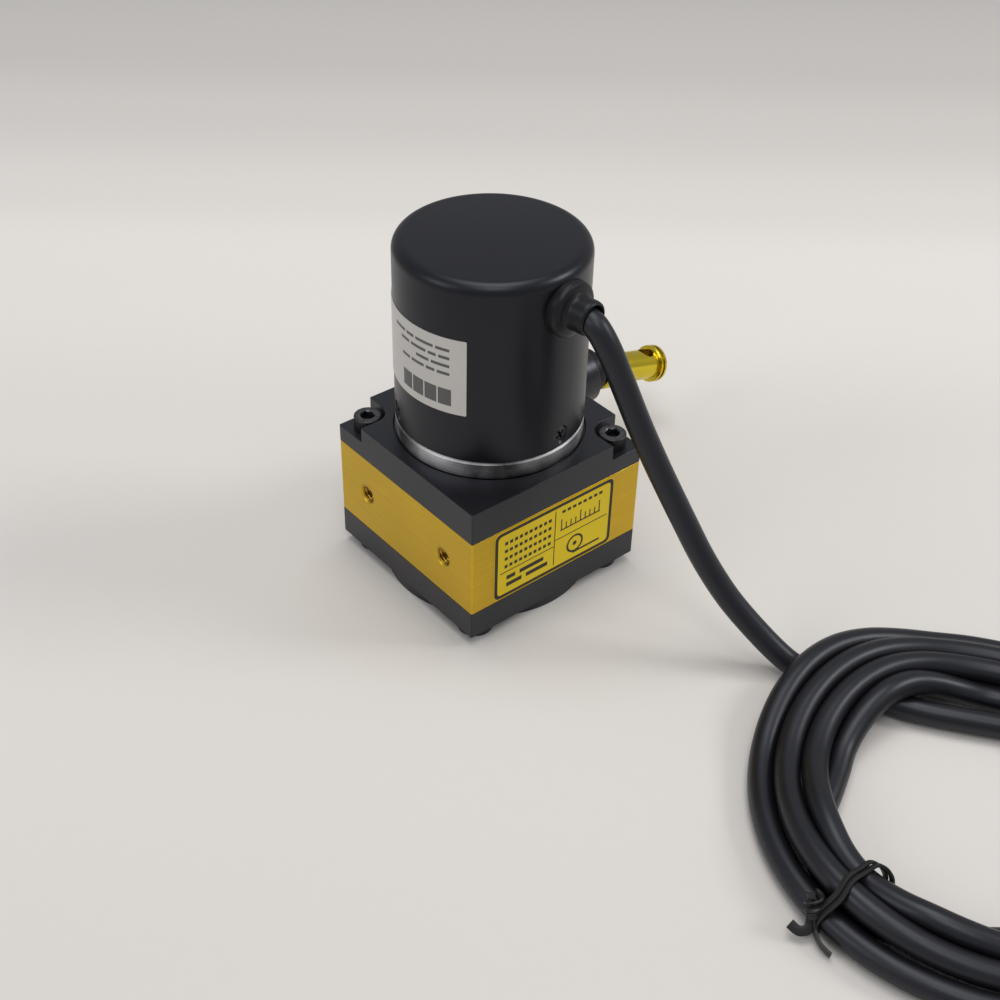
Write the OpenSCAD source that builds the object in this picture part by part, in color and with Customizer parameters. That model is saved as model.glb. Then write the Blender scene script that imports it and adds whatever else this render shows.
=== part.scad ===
// Draw wire encoder: a rotary encoder on a square spring-return wire drum.
// Millimetres, +Z up. The origin lies on the drum axis, at the face that the unit stands on.
// The draw wire leaves along +X, the tapped mounting face is -X.

/* [Housing] */
// Width of the square housing
body_side = 45; // [43:0.5:60]
// Height of the base boss and corner feet
foot_h = 2.6; // [2:0.1:4]
// Gap between the base boss and the sides of the housing
boss_margin = 0.4; // [0.2:0.1:3]
// Diameter of a corner foot
foot_d = 9.5; // [8.5:0.1:10]
// Distance from a cover screw to each side
cover_screw_inset = 5.1; // [5:0.1:6]
// Thickness of the spring cover's square plate
cover_t = 6.3; // [5.5:0.1:9]
// Height of the drum housing
block_h = 18.2; // [17.8:0.1:26]
// Thickness of the top plate
plate_t = 7.4; // [7.2:0.1:10]
// Chamfer on the upright edges
edge_chamfer = 0.4; // [0.2:0.1:1]
// Diameter of the drum chamber
chamber_d = 39; // [38:0.5:40]
// Width of the ledge under the spring plate
plate_ledge = 0.7; // [0.5:0.1:1.2]

/* [Corner steps and screws] */
// Depth of the two corner steps in the top plate
step_depth = 3.5; // [3.2:0.1:4]
// Diameter of the round inner corner of a step
step_bore_d = 7.5; // [6.5:0.1:8]
// Distance from a plate screw to each side
plate_screw_inset = 4.4; // [4.2:0.1:5]
// Thread diameter of the housing screws
screw_d = 3; // [2.5:0.5:3]
// Head diameter of the housing screws
screw_head_d = 5.5; // [4.5:0.1:5.5]
// Head height of the housing screws
screw_head_h = 3; // [2.5:0.1:3]
// Width across flats of the screw sockets
socket_af = 2.5; // [2:0.5:2.5]
// Length of a plate screw
plate_screw_l = 12; // [10:1:14]
// Length of a cover screw
cover_screw_l = 12; // [10:1:14]
// Length of an encoder flange screw
flange_screw_l = 8; // [7:0.5:9]
// Distance of the flange screws from the axis
flange_screw_r = 16; // [15.6:0.1:16.2]

/* [Mounting holes] */
// Core diameter of the tapped mounting holes
mount_core_d = 3.3; // [3:0.1:3.6]
// Mouth diameter of their countersinks
mount_mouth_d = 4.8; // [4.2:0.1:5]
// Depth of the mounting holes
mount_depth = 5.5; // [4.5:0.1:5.7]
// Distance between the mounting holes
mount_spacing = 26; // [24:0.5:27]

/* [Encoder] */
// Outside diameter of the encoder can and its flange
can_d = 39; // [38:0.5:42]
// Height of the can
can_h = 39.7; // [38:0.1:60]
// Wall thickness of the can
can_wall = 1.5; // [1.2:0.1:1.8]
// Radius of the can's top edge
can_edge_r = 1.9; // [1:0.1:3]
// Chamfer on the can's lower edge
can_chamfer = 0.25; // [0.1:0.05:0.5]
// Height of the flange ring below the can
ring_h = 3.5; // [3:0.1:5]
// Chamfer on the ring's upper edge
ring_chamfer = 0.4; // [0.1:0.05:0.6]
// Height of the spigot that the can fits over
spigot_h = 6; // [5.5:0.1:7]
// Wall thickness of the spigot
spigot_wall = 2.4; // [2:0.1:2.6]
// Direction in which the cable leaves, in degrees from +X
cable_azimuth = -83; // [-90:1:-75]
// Height of a can screw above the flange ring
can_screw_rise = 3; // [2.5:0.1:3.5]
// Thread diameter of the small screws
small_screw_d = 2; // [1.6:0.1:2.2]
// Head diameter of the small screws
small_head_d = 3.4; // [3:0.1:3.8]
// Depth of a can screw's head below the can's surface
can_screw_sink = 0.2; // [0.1:0.05:0.3]
// Length of a board screw
board_screw_l = 4.5; // [4:0.1:6]
// Length of the stud below a board spacer
spacer_stud_l = 1.8; // [1.5:0.1:2.2]
// Diameter of the code disc
disc_d = 23; // [20:0.5:23]
// Diameter of the circuit board
board_d = 32.4; // [31:0.1:33]
// Thickness of the circuit board
board_t = 1.6; // [1:0.1:2]
// Distance of the board spacers from the axis
spacer_r = 13.8; // [13.6:0.1:13.9]
// Diameter of a board spacer
spacer_d = 3.4; // [3.2:0.1:3.5]

/* [Bearings] */
// Bore of each ball bearing
bearing_bore = 6; // [5.5:0.1:6]
// Outside diameter of each ball bearing
bearing_od = 13; // [13:0.1:13.4]
// Width of each ball bearing
bearing_w = 3.5; // [3:0.1:3.5]
// Diameter of a bearing ball
ball_d = 2; // [1.8:0.05:2.1]
// Number of balls in a bearing
ball_count = 7; // [6:1:8]
// Thickness of a cage, measured along the radius
cage_t = 0.8; // [0.6:0.1:0.9]

/* [Wire drive] */
// Diameter of the draw wire
wire_d = 0.8; // [0.6:0.1:0.8]
// Wire paid out in one turn of the drum
turn_length = 100; // [95:0.5:101]
// Turns of wire that the drum holds
wire_turns = 10; // [6:1:10]
// Height of the wire exit above the bottom of the drum housing
exit_rise = 12.7; // [12.4:0.1:12.8]
// Thickness of a drum flange
drum_flange_t = 1; // [0.8:0.1:1.1]
// Height by which a drum flange stands over the barrel
drum_lip = 3.1; // [2:0.1:3.2]
// Thickness of the drum's rim
drum_rim_t = 2.4; // [2:0.1:3]
// Thickness of the drum's web
drum_web_t = 2; // [1.5:0.1:3]
// Diameter of the drum's hub
hub_d = 14; // [13:0.5:15]
// Diameter of the shaft inside the drum
drum_seat_d = 8; // [7.5:0.1:8.4]
// Diameter of the spring arbor
arbor_d = 9; // [8.6:0.1:9.4]
// Width of the square drum key
key_w = 2; // [1.5:0.1:2.2]
// Width of the return spring's strip
spring_w = 9; // [6:0.5:9]
// Thickness of the strip
spring_t = 0.4; // [0.3:0.05:0.5]
// Turns of the return spring
spring_turns = 6; // [4:1:7]
// Diameter of the spring's anchor pin
anchor_d = 1.8; // [1.5:0.1:2]
// Thickness of the plate between spring and drum
spring_plate_t = 1; // [0.8:0.1:1.2]
// Diameter of the shaft coupling
coupling_d = 13; // [12:0.5:14]
// Diameter of the recess round the coupling
coupling_recess_d = 16; // [15.5:0.5:16.5]

/* [Wire outlet] */
// Diameter of the nozzle's head
nozzle_d = 13.6; // [12:0.1:14]
// Length of the nozzle's head
nozzle_head_l = 14.2; // [10:0.1:18]
// Diameter of the nozzle's neck
nozzle_neck_d = 10; // [9:0.1:10.5]
// Length of the nozzle's neck
nozzle_neck_l = 4.5; // [3:0.1:8]
// Thread diameter of the nozzle
nozzle_thread_d = 8; // [7:0.5:9]
// Depth to which the nozzle is screwed in
nozzle_depth = 6; // [4:0.5:8]
// Bore of the nozzle
nozzle_bore_d = 3; // [2.5:0.1:4]
// Outside diameter of the guide bush
bush_d = 6; // [5:0.1:7]
// Length of the guide bush
bush_l = 2.7; // [2:0.1:4]
// Outside diameter of the rubber stop
bumper_d = 10.6; // [9:0.1:12]
// Thickness of the rubber stop
bumper_t = 3; // [2:0.1:3.4]
// Bore of the rubber stop
bumper_bore_d = 4.6; // [4:0.1:5]

/* [Wire end fitting] */
// Angle at which the fitting hangs below the wire's axis
droop = 15.8; // [0:0.1:16]
// Distance from the outlet to the fitting
end_gap = 5; // [4.8:0.1:8]
// Length of the fitting
end_l = 20; // [18:0.1:30]
// Diameter of the fitting's barrel
end_d = 7.3; // [6.6:0.1:8]
// Diameter of its two collars
collar_d = 8.9; // [8:0.1:9.4]
// Width of the collar next to the wire
near_collar_w = 3.2; // [2.5:0.1:4]
// Width of the collar at the free end
far_collar_w = 2.4; // [2:0.1:3]
// Width of the groove in the far collar
groove_w = 0.7; // [0.5:0.1:0.8]
// Diameter of the cross hole that takes the load
eye_d = 4; // [3.4:0.1:4.2]
// Distance from the cross hole to the far end
eye_inset = 4.5; // [4.5:0.1:7]
// Diameter of the crimped ferrule
ferrule_d = 2.4; // [2:0.1:3]
// Length of the crimped ferrule
ferrule_l = 9; // [6:0.1:10]

/* [Labels] */
// Thickness of the labels
label_t = 0.15; // [0.1:0.05:0.3]
// Angle that the rating label wraps round the can
label_wrap = 100; // [80:5:140]
// Height of the rating label
label_h = 16.7; // [12:0.1:24]
// Height of the rating label's lower edge above the flange ring
label_rise = 11; // [8:0.1:14]
// Angle from the cable to the near edge of the rating label
label_offset = 60; // [50:1:80]
// Length of the side label
side_label_l = 32; // [24:0.5:38]
// Height of the side label
side_label_h = 17.3; // [12:0.1:17.6]
// Shift of the side label towards the front
side_label_shift = 0.85; // [0:0.05:2]

/* [Cable] */
// Diameter of the signal cable
cable_d = 5; // [4.5:0.1:5]
// Distance from the cable's axis down to the can's lower edge
cable_rise = 32.3; // [28:0.1:33]
// Diameter of the grommet's flange
grommet_flange_d = 11.4; // [10:0.1:12]
// Diameter of the grommet's neck
grommet_neck_d = 7; // [6.6:0.1:8]
// Length of the grommet outside the can
grommet_l = 6.4; // [4:0.1:6.4]
// Thickness of the grommet's flange
grommet_flange_t = 1.5; // [1:0.1:2]
// Diameter of the grommet's waist in the can wall
grommet_waist_d = 7.2; // [6.6:0.1:8]
// Outside diameter of the coiled cable
coil_od = 92.4; // [88:0.2:98]
// Width of the bundle
coil_w = 20.8; // [16:0.1:24]
// Height of the bundle
coil_h = 6.2; // [5:0.1:9]
// Width of the wire tie
tie_w = 1.6; // [1:0.1:3]
// Thickness of the wire tie
tie_t = 0.9; // [0.6:0.1:1.4]
// Length of the tie's twisted part
tie_twist_l = 3; // [2:0.1:4]
// Length of the tie's longer tail
tie_tail_l = 8; // [5:0.5:9]

/* [Clearances] */
// Radial gap of pieces that are pressed or seated together
seat_gap = 0.02; // [0.01:0.01:0.05]
// Radial gap between a ball and its races
ball_gap = 0.02; // [0.01:0.01:0.04]
// Radial gap round a screw
screw_gap = 0.05; // [0.02:0.01:0.1]
// Radial gap of a clearance hole
hole_gap = 0.2; // [0.15:0.05:0.3]
// Gap between pieces that move past each other
run_gap = 0.4; // [0.3:0.05:0.5]
// Radial gap round the cable in its grommet
cable_gap = 0.1; // [0.05:0.05:0.15]

/* [Hidden] */
$fn = 64;
eps = 0.01;

// Levels of the main joints, upwards from the base
z_cover = foot_h;
z_block = z_cover + cover_t;
z_top = z_block + block_h;
z_ring = z_top + plate_t;
z_can = z_ring + ring_h;
half = body_side / 2;

// Spring chamber and shaft
base_t = 1.2;
z_spring_floor = base_t + bearing_w;
spring_chamber_r = chamber_d / 2 - plate_ledge;
wire_z = z_block + exit_rise;
wire_r = turn_length / (2 * PI);
barrel_r = wire_r - wire_d / 2;
wire_zone = wire_d * (wire_turns + 0.5);
z_drum = wire_z - wire_zone / 2 - drum_flange_t;
z_drum_top = wire_z + wire_zone / 2 + drum_flange_t;
spring_play = 0.3;
z_spring_plate = z_spring_floor + spring_w + 3 * spring_play;
z_hub = z_spring_plate + spring_plate_t + spring_play;
shaft_r = bearing_bore / 2;
z_upper_bearing = z_top + run_gap;
z_plate_lip = z_upper_bearing + bearing_w;
lip_t = 0.6;
lip_r = shaft_r + 2;
shaft_end_z = z_plate_lip + 3.1;
arbor_gap = 0.1;
anchor_r = spring_chamber_r - 1.5;

// Coupling and encoder
z_coupling = z_plate_lip + lip_t + run_gap / 2;
coupling_h = 6.8;
z_enc_shaft = shaft_end_z + run_gap;
z_recess_top = z_coupling + coupling_h + run_gap;
z_enc_lower = z_recess_top + 0.2;
bearing_pitch = 7.4;
z_enc_upper = z_enc_lower + bearing_pitch;
enc_boss_r = bearing_od / 2 + 2.4;
z_boss_top = z_enc_upper + bearing_w + 0.2;
race_t = 0.9;
rib_r = bearing_od / 2 - race_t;
z_disc_hub = z_boss_top + run_gap;
hub_flange_r = 5.5;
disc_hub_h = 3;
z_disc = z_disc_hub + disc_hub_h;
disc_t = 0.9;
disc_spigot_r = 3.9;
z_board = z_disc + disc_t + 2;
spigot_r = can_d / 2 - can_wall - seat_gap;
can_screw_z = z_can + can_screw_rise;
can_screw_top = can_d / 2 - can_screw_sink;
cable_z = z_can + cable_rise;
pitch_r = (bearing_bore + bearing_od) / 4;

// Screw places
plate_screw_xy = half - plate_screw_inset;
cover_screw_xy = half - cover_screw_inset;
cover_head_seat = screw_head_h + 0.3;
mount_z = z_block + block_h / 2;

// Wire outlet
x_neck = half;
x_head = x_neck + nozzle_neck_l;
x_out = x_head + nozzle_head_l;
wire_start_x = sqrt(pow(wire_r + wire_d / 2, 2) - pow(barrel_r, 2)) + run_gap;
end_start = end_gap;
eye_at = end_start + end_l - eye_inset;
ferrule_start = end_start - 0.4;
ferrule_bore_l = ferrule_l - 1.5;

// Signal cable: its route in space, from inside the can to the coil on the floor
cable_route = [[1.8, -15, 70.3], [2.3, -19, 70.3], [2.7, -22.4, 70.3], [3.2, -26, 70.2], [3.9, -28.4, 68.9],
    [5, -30.9, 65.3], [6.4, -33.8, 58.9], [8, -37.3, 51], [9.7, -41.2, 41.8], [11.7, -45.5, 31.5],
    [13.6, -49.7, 22.8], [15.8, -54.5, 15], [18.4, -60.2, 8.6], [20.8, -65.6, 4.4], [22.4, -69.2, 2.8],
    [23.4, -71.6, 2.6]];
route_normal = [0.911, 0.411, 0];
route_steps = 3;
cable_sides = 10;
coil_x = 26;
coil_y = -117.5;
tie_azimuth = 173;

// ---------------------------------------------------------------- helpers

// Square plate with chamfered upright edges
module square_plate(z, h) {
    c = edge_chamfer;
    translate([0, 0, z])
        linear_extrude(h)
            polygon([[half, half - c], [half - c, half], [c - half, half], [-half, half - c],
                [-half, c - half], [c - half, -half], [half - c, -half], [half, c - half]]);
}

// Children at the four corners, at distance a from both centre lines
module at_corners(a) {
    for (sx = [-1, 1], sy = [-1, 1])
        translate([sx * a, sy * a, 0])
            children();
}

// Children at the two opposite corners that carry plate screws
module at_step_corners(a) {
    for (s = [-1, 1])
        translate([s * a, -s * a, 0])
            children();
}

// Children three times round the axis, starting at angle a
module three_times(a) {
    for (i = [0:2])
        rotate([0, 0, a + 120 * i])
            children();
}

// Children turned to point outwards along the cable's direction, at the cable's height
module on_cable_axis() {
    rotate([0, 0, cable_azimuth])
        translate([0, 0, cable_z])
            rotate([0, 90, 0])
                children();
}

// Children along the wire's axis, with local +Z pointing out along +X
module on_wire_axis(x = 0) {
    translate([x, wire_r, wire_z])
        rotate([0, 90, 0])
            children();
}

// Children along the hanging fitting's axis, starting at the outlet
module on_end_axis() {
    translate([x_out, wire_r, wire_z])
        rotate([0, 90 + droop, 0])
            children();
}

// Socket head screw: the seat at 0, the head above, the shank below
module socket_screw(l) {
    socket_depth = screw_head_h / 2;
    difference() {
        union() {
            cylinder(h = screw_head_h - 0.3, d = screw_head_d);
            translate([0, 0, screw_head_h - 0.3])
                cylinder(h = 0.3, d1 = screw_head_d, d2 = screw_head_d - 0.6);
            translate([0, 0, -l])
                cylinder(h = l + eps, d = screw_d);
        }
        translate([0, 0, screw_head_h - socket_depth])
            cylinder(h = socket_depth + 1, d = socket_af / cos(30), $fn = 6);
    }
}

// Small pan head screw with a cross recess: the seat at 0, the head above, the shank below
module small_screw(l) {
    head_h = small_head_d * 0.32;
    slot_w = small_head_d * 0.16;
    difference() {
        union() {
            cylinder(h = head_h / 2, d = small_head_d);
            translate([0, 0, head_h / 2])
                cylinder(h = head_h / 2, d1 = small_head_d, d2 = small_head_d * 0.7);
            translate([0, 0, -l])
                cylinder(h = l + eps, d = small_screw_d);
        }
        for (a = [0, 90])
            rotate([0, 0, a])
                translate([-small_head_d * 0.28, -slot_w / 2, head_h * 0.45])
                    cube([small_head_d * 0.56, slot_w, head_h]);
    }
}

// Countersunk screw with a cross recess: the head's top at 0, all else below
module countersunk_screw(l) {
    head_h = (small_head_d - small_screw_d) / 2;
    slot_w = small_head_d * 0.16;
    slot_depth = head_h * 0.8;
    difference() {
        union() {
            translate([0, 0, -head_h])
                cylinder(h = head_h, d1 = small_screw_d, d2 = small_head_d);
            translate([0, 0, -l])
                cylinder(h = l - head_h + eps, d = small_screw_d);
        }
        for (a = [0, 90])
            rotate([0, 0, a])
                translate([-small_head_d * 0.28, -slot_w / 2, -slot_depth])
                    cube([small_head_d * 0.56, slot_w, slot_depth + 1]);
    }
}

// Round bar between two points
module bar_between(a, b, d) {
    v = b - a;
    l = norm(v);
    translate(a)
        rotate([0, acos(v[2] / l), atan2(v[1], v[0])])
            cylinder(h = l, d = d, $fn = 16);
}

// Ball groove of a race that starts at z
module race_groove(z) {
    translate([0, 0, z + bearing_w / 2])
        rotate_extrude()
            translate([pitch_r, 0])
                circle(r = ball_d / 2 + ball_gap);
}

module outer_race(z) {
    difference() {
        translate([0, 0, z])
            cylinder(h = bearing_w, d = bearing_od);
        translate([0, 0, z - 1])
            cylinder(h = bearing_w + 2, r = rib_r);
        race_groove(z);
    }
}

module inner_race(z) {
    difference() {
        translate([0, 0, z])
            cylinder(h = bearing_w, r = shaft_r + race_t);
        translate([0, 0, z - 1])
            cylinder(h = bearing_w + 2, r = shaft_r + seat_gap);
        race_groove(z);
    }
}

module ball_ring(z, gap = 0) {
    for (i = [0:ball_count - 1])
        rotate([0, 0, 360 * i / ball_count])
            translate([pitch_r, 0, z + bearing_w / 2])
                sphere(r = ball_d / 2 + gap);
}

module cage(z) {
    cage_h = ball_d * 1.3;
    difference() {
        translate([0, 0, z + (bearing_w - cage_h) / 2])
            cylinder(h = cage_h, r = pitch_r + cage_t / 2);
        translate([0, 0, z - 1])
            cylinder(h = bearing_w + 2, r = pitch_r - cage_t / 2);
        ball_ring(z, 2 * ball_gap);
    }
}

// ---------------------------------------------------------------- cable sweep

// Point of a smooth curve through four successive route points
function spline(a, b, c, d, t) =
    0.5 * (2 * b + (c - a) * t + (2 * a - 5 * b + 4 * c - d) * t * t + (3 * b - a - 3 * c + d) * t * t * t);
last_leg = len(cable_route) - 2;
function leg_point(i, t) =
    spline(cable_route[max(i - 1, 0)], cable_route[i], cable_route[i + 1],
        cable_route[min(i + 2, last_leg + 1)], t);
cable_path = [for (i = [0:last_leg], s = [0:route_steps - 1]) leg_point(i, s / route_steps),
    cable_route[last_leg + 1]];
function unit(v) = v / norm(v);
function path_tangent(i) =
    unit(cable_path[min(i + 1, len(cable_path) - 1)] - cable_path[max(i - 1, 0)]);
function path_side(i) =
    let (t = path_tangent(i)) unit(route_normal - (route_normal * t) * t);
function ring_point(i, k) =
    let (t = path_tangent(i), u = path_side(i), a = 360 * k / cable_sides)
    cable_path[i] + cable_d / 2 * (cos(a) * u + sin(a) * cross(t, u));

module cable_sweep() {
    n = cable_sides;
    rings = len(cable_path);
    points = [for (i = [0:rings - 1], k = [0:n - 1]) ring_point(i, k)];
    sides = [for (i = [0:rings - 2], k = [0:n - 1])
        [i * n + k, i * n + (k + 1) % n, (i + 1) * n + (k + 1) % n, (i + 1) * n + k]];
    start_cap = [for (k = [0:n - 1]) n - 1 - k];
    end_cap = [for (k = [0:n - 1]) (rings - 1) * n + k];
    polyhedron(points, concat([start_cap], sides, [end_cap]), convexity = 6);
}

// ---------------------------------------------------------------- housing

module spring_cover() {
    color("#2c2c2f")
        difference() {
            union() {
                square_plate(z_cover, cover_t);
                cylinder(h = foot_h + 1, r = half - boss_margin);
                at_corners(cover_screw_xy)
                    cylinder(h = foot_h + 1, d = foot_d);
            }
            translate([0, 0, z_spring_floor])
                cylinder(h = z_block, r = spring_chamber_r);
            translate([0, 0, base_t])
                cylinder(h = bearing_w + 1, r = bearing_od / 2 + seat_gap);
            rotate([0, 0, 180])
                translate([anchor_r, 0, base_t])
                    cylinder(h = z_block, d = anchor_d + 2 * seat_gap);
            at_corners(cover_screw_xy) {
                translate([0, 0, -1])
                    cylinder(h = z_block + 2, d = screw_d + 2 * hole_gap);
                translate([0, 0, -1])
                    cylinder(h = cover_head_seat + 1, d = screw_head_d + 2 * hole_gap);
            }
        }
}

module cover_screws() {
    color("#3a3a3d")
        at_corners(cover_screw_xy)
            translate([0, 0, cover_head_seat])
                mirror([0, 0, 1])
                    socket_screw(cover_screw_l);
}

module spring_anchor() {
    color("silver")
        rotate([0, 0, 180])
            translate([anchor_r, 0, base_t])
                cylinder(h = z_spring_plate - base_t - spring_play, d = anchor_d);
}

// Outline of the wound strip: out along one side and back along the other
module spring_strip(r_in, r_out) {
    steps = 24 * spring_turns;
    function spring_r(i) = r_in + (r_out - r_in) * i / steps;
    function spring_point(i, side) =
        let (a = 180 + 360 * (i - steps) / 24, r = spring_r(i) + side * spring_t / 2)
        [r * cos(a), r * sin(a)];
    polygon([for (i = [0:steps]) spring_point(i, 1), for (i = [0:steps]) spring_point(steps - i, -1)]);
}

module spiral_spring() {
    r_in = arbor_d / 2 + arbor_gap + spring_t / 2;
    loop_r = anchor_d / 2 + seat_gap;
    r_out = anchor_r - loop_r - spring_t / 2;
    color("#7d8794")
        translate([0, 0, z_spring_floor + spring_play])
            linear_extrude(spring_w)
                union() {
                    spring_strip(r_in, r_out);
                    rotate([0, 0, 180])
                        translate([arbor_d / 2 - 1.2, -spring_t / 2])
                            square([1.2 + arbor_gap + spring_t, spring_t]);
                    rotate([0, 0, 180])
                        translate([anchor_r, 0])
                            difference() {
                                circle(r = loop_r + spring_t);
                                circle(r = loop_r);
                            }
                }
}

module spring_plate() {
    color("#b9bdc2")
        translate([0, 0, z_spring_plate])
            difference() {
                cylinder(h = spring_plate_t, r = chamber_d / 2 - seat_gap);
                translate([0, 0, -1])
                    cylinder(h = spring_plate_t + 2, r = arbor_d / 2 + run_gap);
            }
}

module drum_housing() {
    nozzle_hole_l = nozzle_depth + 0.5;
    screw_hole_d = screw_d + 2 * screw_gap;
    cover_hole_l = cover_head_seat + cover_screw_l - z_block + 0.5;
    plate_hole_l = plate_screw_l - (plate_t - step_depth) + 0.5;
    countersink_h = (mount_mouth_d - mount_core_d) / 2;
    color("#b08d2e")
        difference() {
            square_plate(z_block, block_h);
            translate([0, 0, z_block - 1])
                cylinder(h = block_h + 2, r = spring_chamber_r);
            translate([0, 0, z_spring_plate])
                cylinder(h = block_h, d = chamber_d);
            at_corners(cover_screw_xy)
                translate([0, 0, z_block - 1])
                    cylinder(h = cover_hole_l + 1, d = screw_hole_d);
            at_step_corners(plate_screw_xy)
                translate([0, 0, z_top - plate_hole_l])
                    cylinder(h = plate_hole_l + 1, d = screw_hole_d);
            for (s = [-1, 1])
                translate([-half - eps, s * mount_spacing / 2, mount_z])
                    rotate([0, 90, 0]) {
                        cylinder(h = mount_depth, d = mount_core_d);
                        cylinder(h = countersink_h, d1 = mount_mouth_d, d2 = mount_core_d);
                    }
            on_wire_axis(half - nozzle_hole_l)
                cylinder(h = nozzle_hole_l + 1, d = nozzle_thread_d + 2 * seat_gap);
            on_wire_axis()
                cylinder(h = half, d = nozzle_bore_d);
        }
}

// Square step with a round inner corner, open at two sides of the plate
module corner_step() {
    r = step_bore_d / 2;
    outer = plate_screw_inset + 1;
    translate([0, 0, z_ring - step_depth]) {
        cylinder(h = plate_t, r = r);
        translate([-r, 0, 0])
            cube([r + outer, outer, plate_t]);
        translate([0, -r, 0])
            cube([outer, r + outer, plate_t]);
    }
}

module top_plate() {
    color("#303033")
        difference() {
            square_plate(z_top, plate_t);
            for (s = [0, 180])
                rotate([0, 0, s])
                    translate([plate_screw_xy, -plate_screw_xy, 0])
                        rotate([0, 0, -90])
                            corner_step();
            at_step_corners(plate_screw_xy)
                translate([0, 0, z_top - 1])
                    cylinder(h = plate_t, d = screw_d + 2 * hole_gap);
            translate([0, 0, z_top - 1])
                cylinder(h = z_plate_lip - z_top + 1, r = bearing_od / 2 + seat_gap);
            translate([0, 0, z_top])
                cylinder(h = plate_t, r = lip_r);
            translate([0, 0, z_plate_lip + lip_t])
                cylinder(h = plate_t, d = coupling_recess_d);
            three_times(cable_azimuth + 60)
                translate([flange_screw_r, 0, z_top - 1]) {
                    cylinder(h = plate_t + 2, d = screw_d + 2 * hole_gap);
                    cylinder(h = cover_head_seat + 1, d = screw_head_d + 2 * hole_gap);
                }
        }
}

module plate_screws() {
    color("#3a3a3d")
        at_step_corners(plate_screw_xy)
            translate([0, 0, z_ring - step_depth])
                socket_screw(plate_screw_l);
}

module flange_screws() {
    color("#3a3a3d")
        three_times(cable_azimuth + 60)
            translate([flange_screw_r, 0, z_top + cover_head_seat])
                mirror([0, 0, 1])
                    socket_screw(flange_screw_l);
}

module lower_outer_race() {
    color("#c8ccd0")
        outer_race(base_t);
}

module upper_outer_race() {
    color("#c8ccd0")
        outer_race(z_upper_bearing);
}

// ---------------------------------------------------------------- encoder

module encoder_flange() {
    flange_hole_l = flange_screw_l - (plate_t - cover_head_seat) + 0.5;
    color("#b4b4b6")
        difference() {
            union() {
                translate([0, 0, z_ring])
                    cylinder(h = ring_h - ring_chamfer, d = can_d);
                translate([0, 0, z_can - ring_chamfer])
                    cylinder(h = ring_chamfer, d1 = can_d, d2 = can_d - 2 * ring_chamfer);
                difference() {
                    translate([0, 0, z_ring])
                        cylinder(h = ring_h + spigot_h, r = spigot_r);
                    translate([0, 0, z_can])
                        cylinder(h = spigot_h + 1, r = spigot_r - spigot_wall);
                }
                translate([0, 0, z_ring])
                    cylinder(h = z_boss_top - z_ring, r = enc_boss_r);
            }
            translate([0, 0, z_ring - 1])
                cylinder(h = z_recess_top - z_ring + 1, d = coupling_recess_d);
            translate([0, 0, z_ring])
                cylinder(h = z_enc_lower + bearing_w - z_ring, r = bearing_od / 2 + seat_gap);
            translate([0, 0, z_enc_upper])
                cylinder(h = bearing_w + 1, r = bearing_od / 2 + seat_gap);
            translate([0, 0, z_ring])
                cylinder(h = z_boss_top - z_ring + 1, r = rib_r - run_gap);
            three_times(cable_azimuth + 60)
                translate([flange_screw_r, 0, z_ring - 1])
                    cylinder(h = flange_hole_l + 1, d = screw_d + 2 * screw_gap);
            three_times(cable_azimuth)
                translate([0, 0, can_screw_z])
                    rotate([0, 90, 0])
                        translate([0, 0, spigot_r - spigot_wall - 1])
                            cylinder(h = spigot_wall + 2, d = small_screw_d + 2 * screw_gap);
            three_times(cable_azimuth)
                translate([spacer_r, 0, z_can - spacer_stud_l - hole_gap])
                    cylinder(h = 2 * spacer_stud_l, d = small_screw_d + 2 * screw_gap);
        }
}

module encoder_outer_races() {
    color("#c8ccd0") {
        outer_race(z_enc_lower);
        outer_race(z_enc_upper);
    }
}

module encoder_can() {
    r = can_d / 2;
    head_h = (small_head_d - small_screw_d) / 2;
    color("#232326")
        difference() {
            translate([0, 0, z_can])
                rotate_extrude()
                    union() {
                        polygon([[0, 0], [r - can_chamfer, 0], [r, can_chamfer],
                            [r, can_h - can_edge_r], [0, can_h - can_edge_r]]);
                        square([r - can_edge_r, can_h]);
                        translate([r - can_edge_r, can_h - can_edge_r])
                            circle(r = can_edge_r);
                    }
            translate([0, 0, z_can - 1])
                cylinder(h = can_h + 1 - can_wall, r = r - can_wall);
            on_cable_axis()
                cylinder(h = can_d, d = grommet_waist_d + 2 * seat_gap);
            three_times(cable_azimuth)
                translate([0, 0, can_screw_z])
                    rotate([0, 90, 0]) {
                        cylinder(h = can_d, d = small_screw_d + 2 * hole_gap);
                        translate([0, 0, can_screw_top - head_h])
                            cylinder(h = 2 * head_h, d1 = small_screw_d + 2 * seat_gap,
                                d2 = small_screw_d + 4 * head_h + 2 * seat_gap);
                    }
        }
}

module can_screws() {
    color("#4a4a4d")
        three_times(cable_azimuth)
            translate([0, 0, can_screw_z])
                rotate([0, 90, 0])
                    translate([0, 0, can_screw_top])
                        countersunk_screw(can_wall + spigot_wall - can_screw_sink);
}

// Fork round the rim of the code disc, hung from the board
module read_head() {
    w = 7;
    inner = disc_d / 2 - 3;
    outer = board_d / 2 - 1.6;
    z0 = z_disc - 2.2;
    color("#1e1e20")
        rotate([0, 0, cable_azimuth + 180])
            difference() {
                translate([inner, -w / 2, z0])
                    cube([outer - inner, w, z_board - z0]);
                translate([inner - 1, -w / 2 - 1, z_disc - run_gap])
                    cube([disc_d / 2 + run_gap - inner + 1, w + 2, disc_t + 2 * run_gap]);
            }
}

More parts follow.
